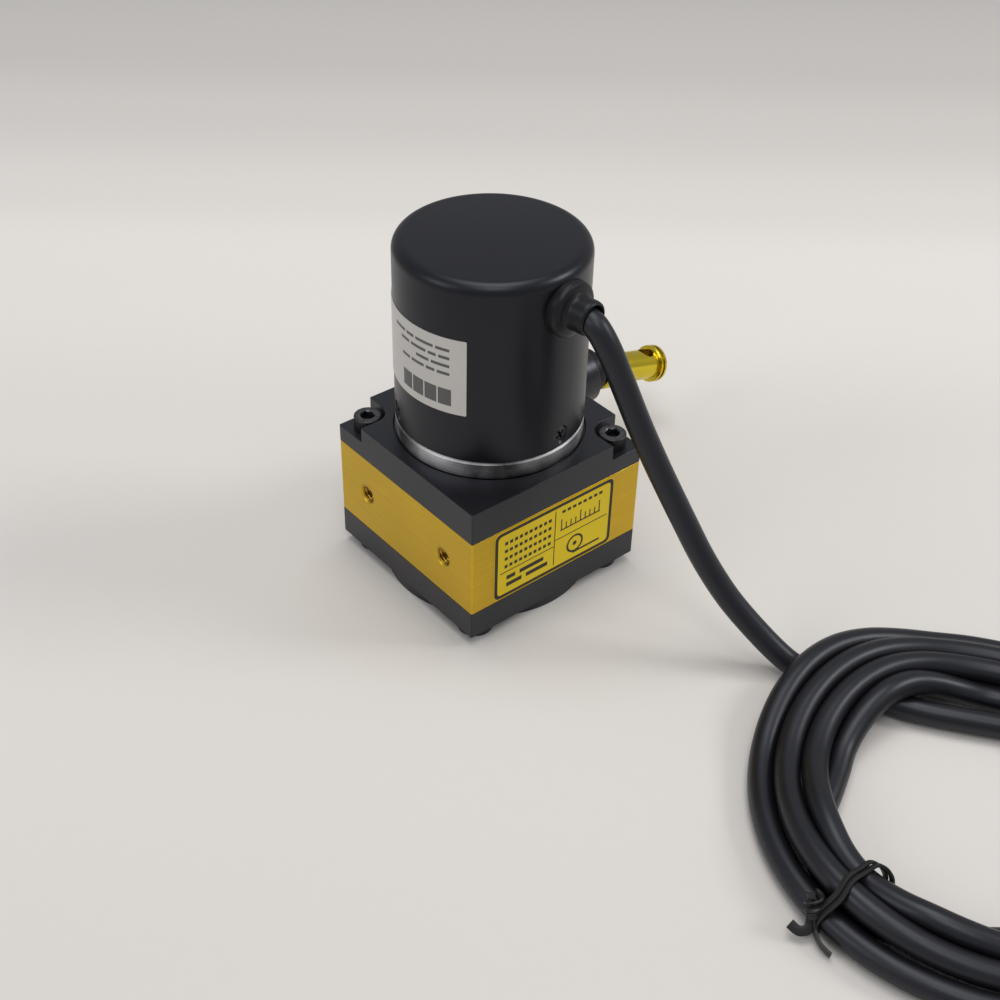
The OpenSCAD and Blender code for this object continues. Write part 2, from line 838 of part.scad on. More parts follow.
module board_spacers() {
    color("#c9a84a")
        three_times(cable_azimuth)
            translate([spacer_r, 0, z_can])
                difference() {
                    union() {
                        cylinder(h = z_board - z_can, d = spacer_d);
                        translate([0, 0, -spacer_stud_l])
                            cylinder(h = spacer_stud_l + eps, d = small_screw_d);
                    }
                    translate([0, 0, z_board - z_can - board_screw_l + board_t - hole_gap])
                        cylinder(h = board_screw_l, d = small_screw_d + 2 * screw_gap);
                }
}

module encoder_board() {
    color("#1f5a35")
        difference() {
            translate([0, 0, z_board])
                cylinder(h = board_t, d = board_d);
            three_times(cable_azimuth)
                translate([spacer_r, 0, z_board - 1])
                    cylinder(h = board_t + 2, d = small_screw_d + 2 * hole_gap);
        }
}

module board_screws() {
    color("#c8ccd0")
        three_times(cable_azimuth)
            translate([spacer_r, 0, z_board + board_t])
                small_screw(board_screw_l);
}

header_r = 5;
header_h = 5.4;
header_w = 7.6;
header_t = 4.4;
module cable_header() {
    color("#e4dfcf")
        rotate([0, 0, cable_azimuth])
            translate([header_r - header_t / 2, -header_w / 2, z_board + board_t])
                difference() {
                    cube([header_t, header_w, header_h]);
                    translate([0.8, 0.8, 1])
                        cube([header_t - 1.6, header_w - 1.6, header_h]);
                }
}

// Four cores from the cable's inner end down into the header
module board_leads() {
    core_d = 0.8;
    header_top = z_board + board_t + header_h;
    start_r = norm([cable_route[0][0], cable_route[0][1]]) - 0.3;
    color("#c83a2c")
        rotate([0, 0, cable_azimuth])
            for (i = [-1.5:1.5]) {
                bend = [header_r, i * 1.4, header_top + 1.5];
                bar_between([start_r, i, cable_z], bend, core_d);
                translate(bend)
                    sphere(d = 1.2 * core_d, $fn = 16);
                translate([header_r, i * 1.4, header_top - header_h + 1.2])
                    cylinder(h = header_h + 0.3, d = core_d, $fn = 16);
            }
}

// ---------------------------------------------------------------- labels

module rating_label() {
    r = can_d / 2 + seat_gap;
    far = can_d;
    start = cable_azimuth - label_offset - label_wrap;
    mid = label_wrap / 2;
    color("#c9c8c4")
        rotate([0, 0, start])
            translate([0, 0, z_can + label_rise])
                intersection() {
                    difference() {
                        cylinder(h = label_h, r = r + label_t);
                        translate([0, 0, -1])
                            cylinder(h = label_h + 2, r = r);
                    }
                    translate([0, 0, -1])
                        linear_extrude(label_h + 2)
                            polygon([[0, 0], [far, 0], [far * cos(mid), far * sin(mid)],
                                [far * cos(label_wrap), far * sin(label_wrap)]]);
                }
}

module side_label() {
    color("#e0b21c")
        translate([-side_label_l / 2 - side_label_shift, -half - label_t, mount_z - side_label_h / 2])
            cube([side_label_l, label_t, side_label_h]);
}

// ---------------------------------------------------------------- cable

module cable_grommet() {
    r = can_d / 2;
    inner_r = r - can_wall;
    lip_t = 1.5;
    dome = 0.8;
    edge_r = 0.5;
    color("#1b1b1d")
        difference() {
            union() {
                difference() {
                    on_cable_axis()
                        translate([0, 0, r - 2]) {
                            cylinder(h = 2 + grommet_flange_t - dome, d = grommet_flange_d);
                            translate([0, 0, 2 + grommet_flange_t - dome])
                                cylinder(h = dome, d1 = grommet_flange_d, d2 = grommet_flange_d - 2.2 * dome);
                            cylinder(h = 2 + grommet_l - edge_r, d = grommet_neck_d);
                            translate([0, 0, 2 + grommet_l - edge_r])
                                cylinder(h = edge_r, d1 = grommet_neck_d, d2 = grommet_neck_d - 2 * edge_r);
                        }
                    translate([0, 0, z_can])
                        cylinder(h = can_h, r = r + seat_gap);
                }
                on_cable_axis()
                    translate([0, 0, inner_r - lip_t])
                        cylinder(h = can_wall + lip_t + 0.8, d = grommet_waist_d);
                intersection() {
                    on_cable_axis()
                        translate([0, 0, inner_r - lip_t])
                            cylinder(h = lip_t + 1, d = grommet_waist_d + 2.6);
                    translate([0, 0, z_can])
                        cylinder(h = can_h, r = inner_r - seat_gap);
                }
            }
            on_cable_axis()
                translate([0, 0, inner_r - lip_t - 1])
                    cylinder(h = can_d, d = cable_d + 2 * cable_gap);
        }
}

module signal_cable() {
    color("#1d1d20")
        cable_sweep();
}

// Closed outline of the coiled bundle
module coil_section() {
    r = min(coil_h, cable_d) / 2 - 0.1;
    inner = coil_od / 2 - coil_w;
    translate([inner, 0])
        union() {
            translate([r, 0])
                square([coil_w - 2 * r, coil_h]);
            translate([0, r])
                square([coil_w, coil_h - 2 * r]);
            for (x = [r, coil_w - r], y = [r, coil_h - r])
                translate([x, y])
                    circle(r = r);
        }
}

module at_tie() {
    translate([coil_x, coil_y, 0])
        rotate([0, 0, tie_azimuth])
            translate([coil_od / 2 - coil_w, 0, 0])
                children();
}

module cable_coil() {
    groove = tie_t + seat_gap;
    color("#1d1d20")
        difference() {
            translate([coil_x, coil_y, 0])
                rotate_extrude($fn = 96)
                    coil_section();
            at_tie()
                translate([-1, -tie_w / 2 - seat_gap, -1])
                    cube([coil_w + 2, tie_w + 2 * seat_gap, groove + 1]);
        }
}

// Tie round the bundle, with its two twisted tails
module cable_tie() {
    g = 0.2;
    color("#17171a") {
        at_tie()
            translate([-g - tie_t, -tie_w / 2, 0])
                difference() {
                    cube([coil_w + 2 * g + 2 * tie_t, tie_w, coil_h + g + tie_t]);
                    translate([tie_t, -1, tie_t])
                        cube([coil_w + 2 * g, tie_w + 2, coil_h + g - tie_t]);
                }
        at_tie()
            translate([coil_w + g + tie_t - eps, 0, 0]) {
                translate([0, -tie_w / 2, tie_t])
                    cube([tie_twist_l, tie_w, 2 * tie_t + 0.2]);
                translate([tie_twist_l - tie_t, -tie_w / 2, tie_t])
                    rotate([0, 0, 58])
                        cube([tie_tail_l, tie_t, 2 * tie_t]);
                translate([tie_twist_l - tie_t, -tie_w / 2, tie_t])
                    rotate([0, 0, -8])
                        cube([tie_tail_l * 0.75, tie_t, 2 * tie_t]);
            }
    }
}

// ---------------------------------------------------------------- wire outlet

module wire_nozzle() {
    c = 0.5;
    groove_at = 4;
    color("#26262a")
        difference() {
            union() {
                on_wire_axis(x_neck - nozzle_depth)
                    cylinder(h = nozzle_depth + eps, d = nozzle_thread_d);
                on_wire_axis(x_neck)
                    cylinder(h = nozzle_neck_l + eps, d = nozzle_neck_d);
                on_wire_axis(x_head) {
                    cylinder(h = c, d1 = nozzle_d - 2 * c, d2 = nozzle_d);
                    translate([0, 0, c])
                        cylinder(h = nozzle_head_l - 2 * c, d = nozzle_d);
                    translate([0, 0, nozzle_head_l - c])
                        cylinder(h = c, d1 = nozzle_d, d2 = nozzle_d - 2 * c);
                }
            }
            on_wire_axis()
                cylinder(h = x_out + 1, d = nozzle_bore_d);
            on_wire_axis(x_out - bush_l)
                cylinder(h = bush_l + 1, d = bush_d + 2 * seat_gap);
            on_wire_axis(x_head + groove_at)
                difference() {
                    cylinder(h = 1, d = nozzle_d + 1);
                    translate([0, 0, -1])
                        cylinder(h = 3, d = nozzle_d - 0.8);
                }
        }
}

// Guide bush with a rounded mouth
module nozzle_bush() {
    mouth_r = 1.2;
    throat_r = wire_d / 2 + 0.3;
    color("#e9e6df")
        on_wire_axis(x_out - bush_l)
            rotate_extrude()
                difference() {
                    translate([throat_r, 0])
                        square([bush_d / 2 - throat_r, bush_l]);
                    translate([throat_r, bush_l - mouth_r])
                        difference() {
                            square([mouth_r, mouth_r + 1]);
                            translate([mouth_r, 0])
                                circle(r = mouth_r);
                        }
                }
}

module wire_bumper() {
    color("#19191b")
        on_wire_axis(x_out)
            difference() {
                union() {
                    cylinder(h = bumper_t - 0.6, d = bumper_d);
                    translate([0, 0, bumper_t - 0.6])
                        cylinder(h = 0.6, d1 = bumper_d, d2 = bumper_d - 1.2);
                }
                translate([0, 0, -1])
                    cylinder(h = bumper_t + 2, d = bumper_bore_d);
            }
}

// ---------------------------------------------------------------- drum and shafts

module drum_shaft() {
    r_arbor = arbor_d / 2;
    r_seat = drum_seat_d / 2;
    c = 0.3;
    z0 = base_t + 0.1;
    color("#a9adb2")
        difference() {
            rotate_extrude()
                polygon([[0, z0], [shaft_r - c, z0], [shaft_r, z0 + c], [shaft_r, z_spring_floor],
                    [r_arbor, z_spring_floor], [r_arbor, z_hub], [r_seat, z_hub],
                    [r_seat, z_upper_bearing], [shaft_r, z_upper_bearing],
                    [shaft_r, shaft_end_z - c], [shaft_r - c, shaft_end_z], [0, shaft_end_z]]);
            rotate([0, 0, 180])
                translate([r_arbor - 1.4, -spring_t / 2 - 0.1, z_spring_floor])
                    cube([3, spring_t + 0.2, z_spring_plate - z_spring_floor]);
            translate([-key_w / 2 - seat_gap, r_seat - key_w / 2, z_hub])
                cube([key_w + 2 * seat_gap, key_w, z_upper_bearing - z_hub - 1]);
        }
}

module drum_key() {
    color("#8c9096")
        translate([-key_w / 2, drum_seat_d / 2 - key_w / 2 + seat_gap, z_hub + 0.2])
            cube([key_w, key_w - 2 * seat_gap, z_upper_bearing - z_hub - 1.4]);
}

module drum() {
    r_flange = barrel_r + drum_lip;
    r_seat = drum_seat_d / 2 + seat_gap;
    r_rim = barrel_r - drum_rim_t;
    r_hub = hub_d / 2;
    hole_d = min(4, r_rim - r_hub - 1.5);
    web_top = z_drum + drum_web_t;
    color("#c4c8cc")
        difference() {
            rotate_extrude()
                polygon([[r_seat, z_hub], [r_hub, z_hub], [r_hub, z_drum], [r_flange, z_drum],
                    [r_flange, z_drum + drum_flange_t], [barrel_r, z_drum + drum_flange_t],
                    [barrel_r, z_drum_top - drum_flange_t], [r_flange, z_drum_top - drum_flange_t],
                    [r_flange, z_drum_top], [r_rim, z_drum_top], [r_rim, web_top], [r_hub, web_top],
                    [r_hub, z_drum_top], [r_seat, z_drum_top]]);
            for (i = [0:5])
                rotate([0, 0, 30 + 60 * i])
                    translate([(r_rim + r_hub) / 2, 0, z_drum - 1])
                        cylinder(h = drum_web_t + 2, d = hole_d);
            translate([-key_w / 2 - seat_gap, 0, z_hub - 1])
                cube([key_w + 2 * seat_gap, drum_seat_d / 2 + key_w / 2 + seat_gap, z_top]);
        }
}

// Turns of wire side by side on the barrel
module wound_wire() {
    r = wire_d / 2 - 0.02;
    color("#d6d8da")
        union() {
            translate([0, 0, wire_z - wire_turns * wire_d / 2])
                difference() {
                    cylinder(h = wire_turns * wire_d, r = wire_r);
                    translate([0, 0, -1])
                        cylinder(h = wire_turns * wire_d + 2, r = barrel_r + seat_gap);
                }
            for (i = [0:wire_turns - 1])
                translate([0, 0, wire_z + (i - (wire_turns - 1) / 2) * wire_d])
                    rotate_extrude()
                        translate([wire_r, 0])
                            circle(r = r, $fn = 24);
        }
}

module lower_inner_race() {
    color("#c8ccd0")
        inner_race(base_t);
}

module upper_inner_race() {
    color("#c8ccd0")
        inner_race(z_upper_bearing);
}

module shaft_coupling() {
    slit = 0.6;
    color("#aeb2b8")
        difference() {
            translate([0, 0, z_coupling])
                cylinder(h = coupling_h, d = coupling_d);
            translate([0, 0, z_coupling - 1])
                cylinder(h = coupling_h + 2, r = shaft_r + seat_gap);
            for (i = [0, 1])
                rotate([0, 0, 180 * i])
                    translate([-coupling_d, -coupling_d * 0.3, shaft_end_z + run_gap / 2 - slit + i * 0.9 - 0.15])
                        cube([2 * coupling_d, coupling_d, slit]);
            for (z = coupling_screw_levels())
                translate([0, 0, z])
                    rotate([0, 90, 0])
                        cylinder(h = coupling_d, d = small_screw_d + 2 * screw_gap);
        }
}

function coupling_screw_levels() = [z_coupling + 1.4, z_coupling + coupling_h - 1.4];

module coupling_screws() {
    l = coupling_d / 2 - shaft_r - 2 * seat_gap;
    color("#3a3a3d")
        for (z = coupling_screw_levels())
            translate([shaft_r + seat_gap, 0, z])
                rotate([0, 90, 0])
                    difference() {
                        cylinder(h = l, d = small_screw_d);
                        translate([0, 0, l - 1])
                            cylinder(h = 2, d = 1, $fn = 6);
                    }
}

module encoder_shaft() {
    r_step = shaft_r + race_t;
    c = 0.3;
    z_low = z_enc_lower + bearing_w;
    z_end = z_disc + disc_t;
    color("#b3b7bc")
        rotate_extrude()
            polygon([[0, z_enc_shaft], [shaft_r - c, z_enc_shaft], [shaft_r, z_enc_shaft + c],
                [shaft_r, z_low], [r_step, z_low], [r_step, z_enc_upper], [shaft_r, z_enc_upper],
                [shaft_r, z_end - c], [shaft_r - c, z_end], [0, z_end]]);
}

module encoder_inner_races() {
    color("#c8ccd0") {
        inner_race(z_enc_lower);
        inner_race(z_enc_upper);
    }
}

module disc_hub() {
    color("#9a9ea4")
        difference() {
            union() {
                translate([0, 0, z_disc_hub])
                    cylinder(h = disc_hub_h, r = hub_flange_r);
                translate([0, 0, z_disc_hub])
                    cylinder(h = disc_hub_h + disc_t, r = disc_spigot_r);
            }
            translate([0, 0, z_disc_hub - 1])
                cylinder(h = disc_hub_h + disc_t + 2, r = shaft_r + seat_gap);
        }
}

module code_disc() {
    color("#9fb6bd")
        translate([0, 0, z_disc])
            difference() {
                cylinder(h = disc_t, d = disc_d);
                translate([0, 0, -1])
                    cylinder(h = disc_t + 2, r = disc_spigot_r + seat_gap);
            }
}

module lower_cage() {
    color("#b5893c")
        cage(base_t);
}

module lower_balls() {
    color("#dfe2e5")
        ball_ring(base_t);
}

module upper_cage() {
    color("#b5893c")
        cage(z_upper_bearing);
}

module upper_balls() {
    color("#dfe2e5")
        ball_ring(z_upper_bearing);
}

module encoder_lower_cage() {
    color("#b5893c")
        cage(z_enc_lower);
}

module encoder_lower_balls() {
    color("#dfe2e5")
        ball_ring(z_enc_lower);
}

module encoder_upper_cage() {
    color("#b5893c")
        cage(z_enc_upper);
}

module encoder_upper_balls() {
    color("#dfe2e5")
        ball_ring(z_enc_upper);
}

// ---------------------------------------------------------------- draw wire and fitting

module draw_wire() {
    color("#cfd2d5")
        union() {
            on_wire_axis(wire_start_x)
                cylinder(h = x_out - wire_start_x, d = wire_d, $fn = 16);
            on_wire_axis(x_out)
                sphere(d = wire_d, $fn = 16);
        }
}

module wire_tail() {
    tail_start = wire_d / 2 + seat_gap;
    color("#cfd2d5")
        on_end_axis()
            translate([0, 0, tail_start])
                cylinder(h = ferrule_start + ferrule_bore_l - seat_gap - tail_start, d = wire_d, $fn = 16);
}

module wire_ferrule() {
    color("#b9bcbf")
        on_end_axis()
            translate([0, 0, ferrule_start])
                difference() {
                    cylinder(h = ferrule_l, d = ferrule_d);
                    translate([0, 0, -1])
                        cylinder(h = ferrule_bore_l + 1, d = wire_d + 2 * seat_gap);
                }
}

// Spool-shaped fitting with a cross hole near its free end
module wire_end() {
    r = end_d / 2;
    rc = collar_d / 2;
    c = 0.4;
    far = end_start + end_l;
    near = end_start + near_collar_w;
    lip = far - far_collar_w;
    groove_at = lip + (far_collar_w - groove_w) / 2 - 0.1;
    color("#c2a01f")
        on_end_axis()
            difference() {
                rotate_extrude()
                    polygon([[0, end_start], [rc - c, end_start], [rc, end_start + c], [rc, near - c],
                        [rc - c, near], [r, near], [r, lip], [rc - c, lip], [rc, lip + c / 2],
                        [rc, groove_at], [rc - 0.7, groove_at], [rc - 0.7, groove_at + groove_w],
                        [rc, groove_at + groove_w], [rc, far - c], [rc - c, far], [0, far]]);
                translate([0, 0, end_start - 1])
                    cylinder(h = ferrule_l + 1, d = ferrule_d + 2 * seat_gap);
                translate([0, 0, eye_at])
                    rotate([0, 90, 0])
                        cylinder(h = 2 * end_d, d = eye_d, center = true);
            }
}

spring_cover();
cover_screws();
spring_anchor();
spiral_spring();
spring_plate();
drum_housing();
top_plate();
plate_screws();
flange_screws();
lower_outer_race();
upper_outer_race();
encoder_flange();
encoder_outer_races();
encoder_can();
can_screws();
read_head();
board_spacers();
encoder_board();
board_screws();
cable_header();
board_leads();
rating_label();
side_label();
cable_grommet();
wire_nozzle();
nozzle_bush();
wire_bumper();
signal_cable();
cable_coil();
cable_tie();
drum_shaft();
drum();
drum_key();
wound_wire();
lower_inner_race();
upper_inner_race();
shaft_coupling();
coupling_screws();
encoder_shaft();
encoder_inner_races();
disc_hub();
code_disc();
lower_cage();
lower_balls();
upper_cage();
upper_balls();
encoder_lower_cage();
encoder_lower_balls();
encoder_upper_cage();
encoder_upper_balls();
draw_wire();
wire_tail();
wire_ferrule();
wire_end();
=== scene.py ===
"""Draw wire encoder: finished surfaces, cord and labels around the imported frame.

Lengths are millimetres, and mesh_object, shift, soften and MM turn them into metres. Azimuths
and the angles of arcs and edges are degrees, and turns are radians. The part's frame has its
origin on the drum axis at the base, +Z up, and the draw wire leaves along +X.
"""
import logging
import math
from dataclasses import dataclass
from dataclasses import field
from enum import Enum

import bmesh
import bpy
from mathutils import Matrix
from mathutils import Vector


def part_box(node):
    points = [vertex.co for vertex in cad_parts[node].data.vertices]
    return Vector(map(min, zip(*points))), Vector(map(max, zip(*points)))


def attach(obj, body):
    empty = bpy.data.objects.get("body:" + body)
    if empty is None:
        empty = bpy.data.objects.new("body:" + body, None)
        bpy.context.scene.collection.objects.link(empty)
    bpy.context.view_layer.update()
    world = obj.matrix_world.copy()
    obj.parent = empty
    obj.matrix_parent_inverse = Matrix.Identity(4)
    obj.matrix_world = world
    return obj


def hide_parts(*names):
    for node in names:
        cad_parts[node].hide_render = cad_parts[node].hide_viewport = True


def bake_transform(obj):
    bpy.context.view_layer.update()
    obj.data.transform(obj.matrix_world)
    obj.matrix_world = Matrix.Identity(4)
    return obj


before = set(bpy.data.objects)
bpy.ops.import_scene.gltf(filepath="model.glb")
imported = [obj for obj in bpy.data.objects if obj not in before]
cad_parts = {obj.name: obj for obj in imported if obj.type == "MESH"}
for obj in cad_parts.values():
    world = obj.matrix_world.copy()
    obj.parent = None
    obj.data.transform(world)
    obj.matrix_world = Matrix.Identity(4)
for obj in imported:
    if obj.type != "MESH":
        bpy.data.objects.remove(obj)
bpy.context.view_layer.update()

LOG = logging.getLogger("draw_wire_encoder")
MM = 0.001
OVER = 1.0  # how far a cutter or an added form runs past the face that it meets
TURN = 2 * math.pi
Z_TO_X = Matrix.Rotation(math.pi / 2, 4, "Y")

Point2 = tuple[float, float]
Point3 = tuple[float, float, float]
Color = tuple[float, float, float]
Piece = bpy.types.Object
Tree = bpy.types.NodeTree
Node = bpy.types.Node
Socket = bpy.types.NodeSocket


# ---- places and outlines


def box_of(node: str) -> tuple[Vector, Vector]:
    """The lowest and highest corner of a CAD node's box."""
    low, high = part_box(node)
    return Vector(low) / MM, Vector(high) / MM


def shift(x: float, y: float, z: float) -> Matrix:
    """A move without a turn."""
    return Matrix.Translation((x * MM, y * MM, z * MM))


def spin(angle: float, axis: str = "Z") -> Matrix:
    """A turn about an axis."""
    return Matrix.Rotation(angle, 4, axis)


def between(first: float, last: float, share: float) -> float:
    """The value that lies a share of the way from first to last."""
    return first + (last - first) * share


def arc(centre: Point2, radius: float, start: float, end: float, steps: int) -> list[Point2]:
    """Points along an arc.

    Args:
        centre: The arc's centre.
        radius: Its radius.
        start: The angle of its first point, in degrees.
        end: The angle of its last point, in degrees.
        steps: How many chords it has.

    Returns:
        The points, steps + 1 of them.
    """
    angles = [math.radians(between(start, end, i / steps)) for i in range(steps + 1)]
    return [(centre[0] + radius * math.cos(a), centre[1] + radius * math.sin(a)) for a in angles]


def circle(radius: float, count: int, centre: Point2 = (0, 0)) -> list[Point2]:
    """A number of points evenly round a circle."""
    return arc(centre, radius, 0, 360 * (count - 1) / count, count - 1)


def rectangle(left: float, low: float, right: float, high: float) -> list[Point2]:
    """The four corners of a rectangle."""
    return [(left, low), (right, low), (right, high), (left, high)]


def rounded(points: list[Point2], radius: float, steps: int) -> list[Point2]:
    """Rounds the corners of a closed outline or profile.

    Args:
        points: The corners in order.
        radius: The radius wanted, which each corner limits to 0.45 of its shorter side.
        steps: How many chords a rounded corner has.

    Returns:
        The rounded outline.
    """
    made: list[Point2] = []
    straight = math.radians(175)
    for i, corner in enumerate(points):
        here = Vector(corner)
        before = Vector(points[i - 1]) - here
        after = Vector(points[(i + 1) % len(points)]) - here
        turn = before.angle(after)
        if turn > straight:
            made.append(corner)
            continue
        reach = min(radius / math.tan(turn / 2), 0.45 * before.length, 0.45 * after.length)
        first = here + before.normalized() * reach
        last = here + after.normalized() * reach
        for k in range(steps + 1):
            t = k / steps
            point = first * (1 - t) ** 2 + here * 2 * t * (1 - t) + last * t**2
            made.append((point.x, point.y))
    return made


def spline_points(points: list[Vector], steps: int) -> list[Vector]:
    """A smooth curve through points, by the Catmull-Rom rule.

    Args:
        points: The points to pass through.
        steps: How many chords lie between two of them.

    Returns:
        The curve's points.
    """
    made: list[Vector] = []
    last = len(points) - 1
    for i in range(last):
        a, b, c, d = points[max(i - 1, 0)], points[i], points[i + 1], points[min(i + 2, last)]
        ahead, bend, sway = c - a, 2 * a - 5 * b + 4 * c - d, 3 * b - a - 3 * c + d
        for t in (k / steps for k in range(steps)):
            made.append(0.5 * (2 * b + ahead * t + bend * t**2 + sway * t**3))
    made.append(points[-1])
    return made


# ---- meshes


def add_object(name: str, data: bpy.types.ID) -> Piece:
    """Adds an object to the scene.

    Args:
        name: Its name.
        data: Its mesh, curve, lamp or camera.

    Returns:
        The object.
    """
    made = bpy.data.objects.new(name, data)
    bpy.context.scene.collection.objects.link(made)
    return made


def mesh_object(name: str, verts: list[Point3], faces: list[list[int]]) -> Piece:
    """A new object in the scene from points and faces.

    Args:
        name: The object's name.
        verts: Its points.
        faces: Its faces, as lists of point numbers.

    Returns:
        The object, with its normals outwards.
    """
    mesh = bpy.data.meshes.new(name)
    mesh.from_pydata([tuple(value * MM for value in vert) for vert in verts], [], faces)
    shape = bmesh.new()
    shape.from_mesh(mesh)
    bmesh.ops.recalc_face_normals(shape, faces=shape.faces)
    shape.to_mesh(mesh)
    shape.free()
    return add_object(name, mesh)


@dataclass(frozen=True)
class Knurl:
    """The flutes of a knurled stretch: how many, how deep, and between which heights."""

    flutes: int
    depth: float
    low: float
    high: float

    def cut(self, height: float, angle: float) -> float:
        """How deep the flutes cut at a height and an angle."""
        wave = 0.5 - 0.5 * math.cos(self.flutes * angle)
        return self.depth * wave if self.low <= height <= self.high else 0.0


def lathe(name: str, profile: list[Point2], segments: int, knurl: Knurl | None = None) -> Piece:
    """A turned piece about its own +Z.

    Args:
        name: The object's name.
        profile: (radius, height) points of a closed outline. Points on the axis have radius 0.
        segments: How many points go round.
        knurl: The flutes cut into it, if any.

    Returns:
        The piece.
    """
    verts: list[Point3] = []
    rings: list[list[int]] = []
    for radius, height in profile:
        start = len(verts)
        if not radius:
            verts.append((0.0, 0.0, height))
            rings.append([start] * segments)
            continue
        for a in (TURN * k / segments for k in range(segments)):
            reach = radius - (knurl.cut(height, a) if knurl else 0.0)
            verts.append((reach * math.cos(a), reach * math.sin(a), height))
        rings.append(list(range(start, start + segments)))
    faces: list[list[int]] = []
    for low, high in zip(rings, rings[1:] + rings[:1]):
        for k in range(segments):
            n = (k + 1) % segments
            corners = list(dict.fromkeys([low[k], low[n], high[n], high[k]]))
            if len(corners) > 2:
                faces.append(corners)
    return mesh_object(name, verts, faces)


def prism(name: str, outline: list[Point2], low: float, high: float) -> Piece:
    """An upright block with the given outline.

    Args:
        name: The object's name.
        outline: The outline's corners in order.
        low: The height of its bottom.
        high: The height of its top.

    Returns:
        The block.
    """
    count = len(outline)
    verts = [(x, y, z) for z in (low, high) for x, y in outline]
    faces = [list(range(count)), list(range(count, 2 * count))]
    faces += [[i, (i + 1) % count, count + (i + 1) % count, count + i] for i in range(count)]
    return mesh_object(name, verts, faces)


def rod(name: str, radius: float, low: float, high: float, segments: int = 64) -> Piece:
    """A plain upright cylinder, used as a cutter or joined to a larger form."""
    return prism(name, circle(radius, segments), low, high)


def sweep(
    name: str, path: list[Vector], section: list[Point2], up: Vector, twist: float = 0.0, closed: bool = False
) -> Piece:
    """A strip or cord of one section along a path.

    Args:
        name: The object's name.
        path: The points it follows.
        section: Its section as (sideways, upwards) points.
        up: The direction that the section's second axis starts from.
        twist: How far the section turns about the path in each millimetre.
        closed: Whether the path closes on itself.

    Returns:
        The piece.
    """
    count, around = len(path), len(section)
    verts: list[Point3] = []
    travelled = 0.0
    lift = up.normalized()
    for i, point in enumerate(path):
        before = path[i - 1] if i or closed else path[0]
        after = path[(i + 1) % count] if i + 1 < count or closed else path[-1]
        ahead = (after - before).normalized()
        lift = (lift - ahead * lift.dot(ahead)).normalized()
        side = ahead.cross(lift)
        cos, sin = math.cos(twist * travelled), math.sin(twist * travelled)
        verts += [tuple(point + side * (x * cos - y * sin) + lift * (x * sin + y * cos)) for x, y in section]
        if i + 1 < count:
            travelled += (path[i + 1] - point).length
    faces: list[list[int]] = []
    for i in range(count if closed else count - 1):
        here, further = i * around, (i + 1) % count * around
        for k, n in ((k, (k + 1) % around) for k in range(around)):
            faces.append([here + k, here + n, further + n, further + k])
    if not closed:
        faces += [list(range(around)), list(range((count - 1) * around, count * around))]
    return mesh_object(name, verts, faces)


# ---- changes to a mesh


class Solid(Enum):
    """What combine does with the other pieces."""

    CUT = "DIFFERENCE"
    ADD = "UNION"


def place(piece: Piece, where: Matrix) -> Piece:
    """Puts a piece, made at the origin, at its place."""
    piece.matrix_world = where
    return piece


def bake_modifiers(piece: Piece) -> Piece:
    """Turns a piece's modifiers into its mesh.

    Args:
        piece: The object with modifiers.

    Returns:
        The same object, with a new mesh and no modifiers.
    """
    bpy.context.view_layer.update()
    shown = piece.evaluated_get(bpy.context.evaluated_depsgraph_get())
    mesh = bpy.data.meshes.new_from_object(shown)
    old = piece.data
    piece.modifiers.clear()
    piece.data = mesh
    bpy.data.meshes.remove(old)
    return piece


def remove(pieces: list[Piece]) -> None:
    """Takes pieces out of the scene."""
    for piece in pieces:
        bpy.data.objects.remove(piece)


def combine(piece: Piece, others: list[Piece], solid: Solid) -> Piece:
    """Cuts other pieces out of one, or adds them to it, and removes them.

    Args:
        piece: The piece that stays.
        others: The cutters, or the pieces to add.
        solid: Whether they are cut out or added.

    Returns:
        The piece.
    """
    for other in others:
        step = piece.modifiers.new(solid.value.lower(), "BOOLEAN")
        step.operation = solid.value
        step.solver = "EXACT"
        step.object = other
    bake_modifiers(piece)
    remove(others)
    return piece


def join(piece: Piece, others: list[Piece]) -> Piece:
    """Puts the meshes of several pieces into one piece, and removes the others.

    Args:
        piece: The piece that stays.
        others: The others.

    Returns:
        The piece, at the origin.
    """
    shape = bmesh.new()
    for part in (piece, *others):
        part.data.transform(part.matrix_world)
        shape.from_mesh(part.data)
    piece.matrix_world = Matrix.Identity(4)
    shape.to_mesh(piece.data)
    shape.free()
    remove(others)
    return piece


def soften(piece: Piece, width: float, angle: float = 32) -> Piece:
    """Rounds a piece's edges and smooths its curved faces.

    Args:
        piece: The piece.
        width: The width of the rounding.
        angle: Edges sharper than this many degrees are rounded.

    Returns:
        The piece.
    """
    shape = bmesh.new()
    shape.from_mesh(piece.data)
    bmesh.ops.remove_doubles(shape, verts=shape.verts, dist=0.001 * MM)
    flat = math.radians(0.5)
    bmesh.ops.dissolve_limit(shape, angle_limit=flat, verts=shape.verts, edges=shape.edges)
    shape.to_mesh(piece.data)
    shape.free()
    for face in piece.data.polygons:
        face.use_smooth = True
    step = piece.modifiers.new("edges", "BEVEL")
    step.width = width * MM
    step.segments = 2
    step.limit_method = "ANGLE"
    step.angle_limit = math.radians(angle)
    step.harden_normals = True
    step.use_clamp_overlap = True
    return bake_modifiers(piece)


def smooth(piece: Piece, angle: float) -> Piece:
    """Smooths a piece's faces.

    Args:
        piece: The piece.
        angle: Edges sharper than this many degrees stay sharp.

    Returns:
        The piece.
    """
    for face in piece.data.polygons:
        face.use_smooth = True
    piece.data.set_sharp_from_angle(angle=math.radians(angle))
    return piece


# ---- finishes


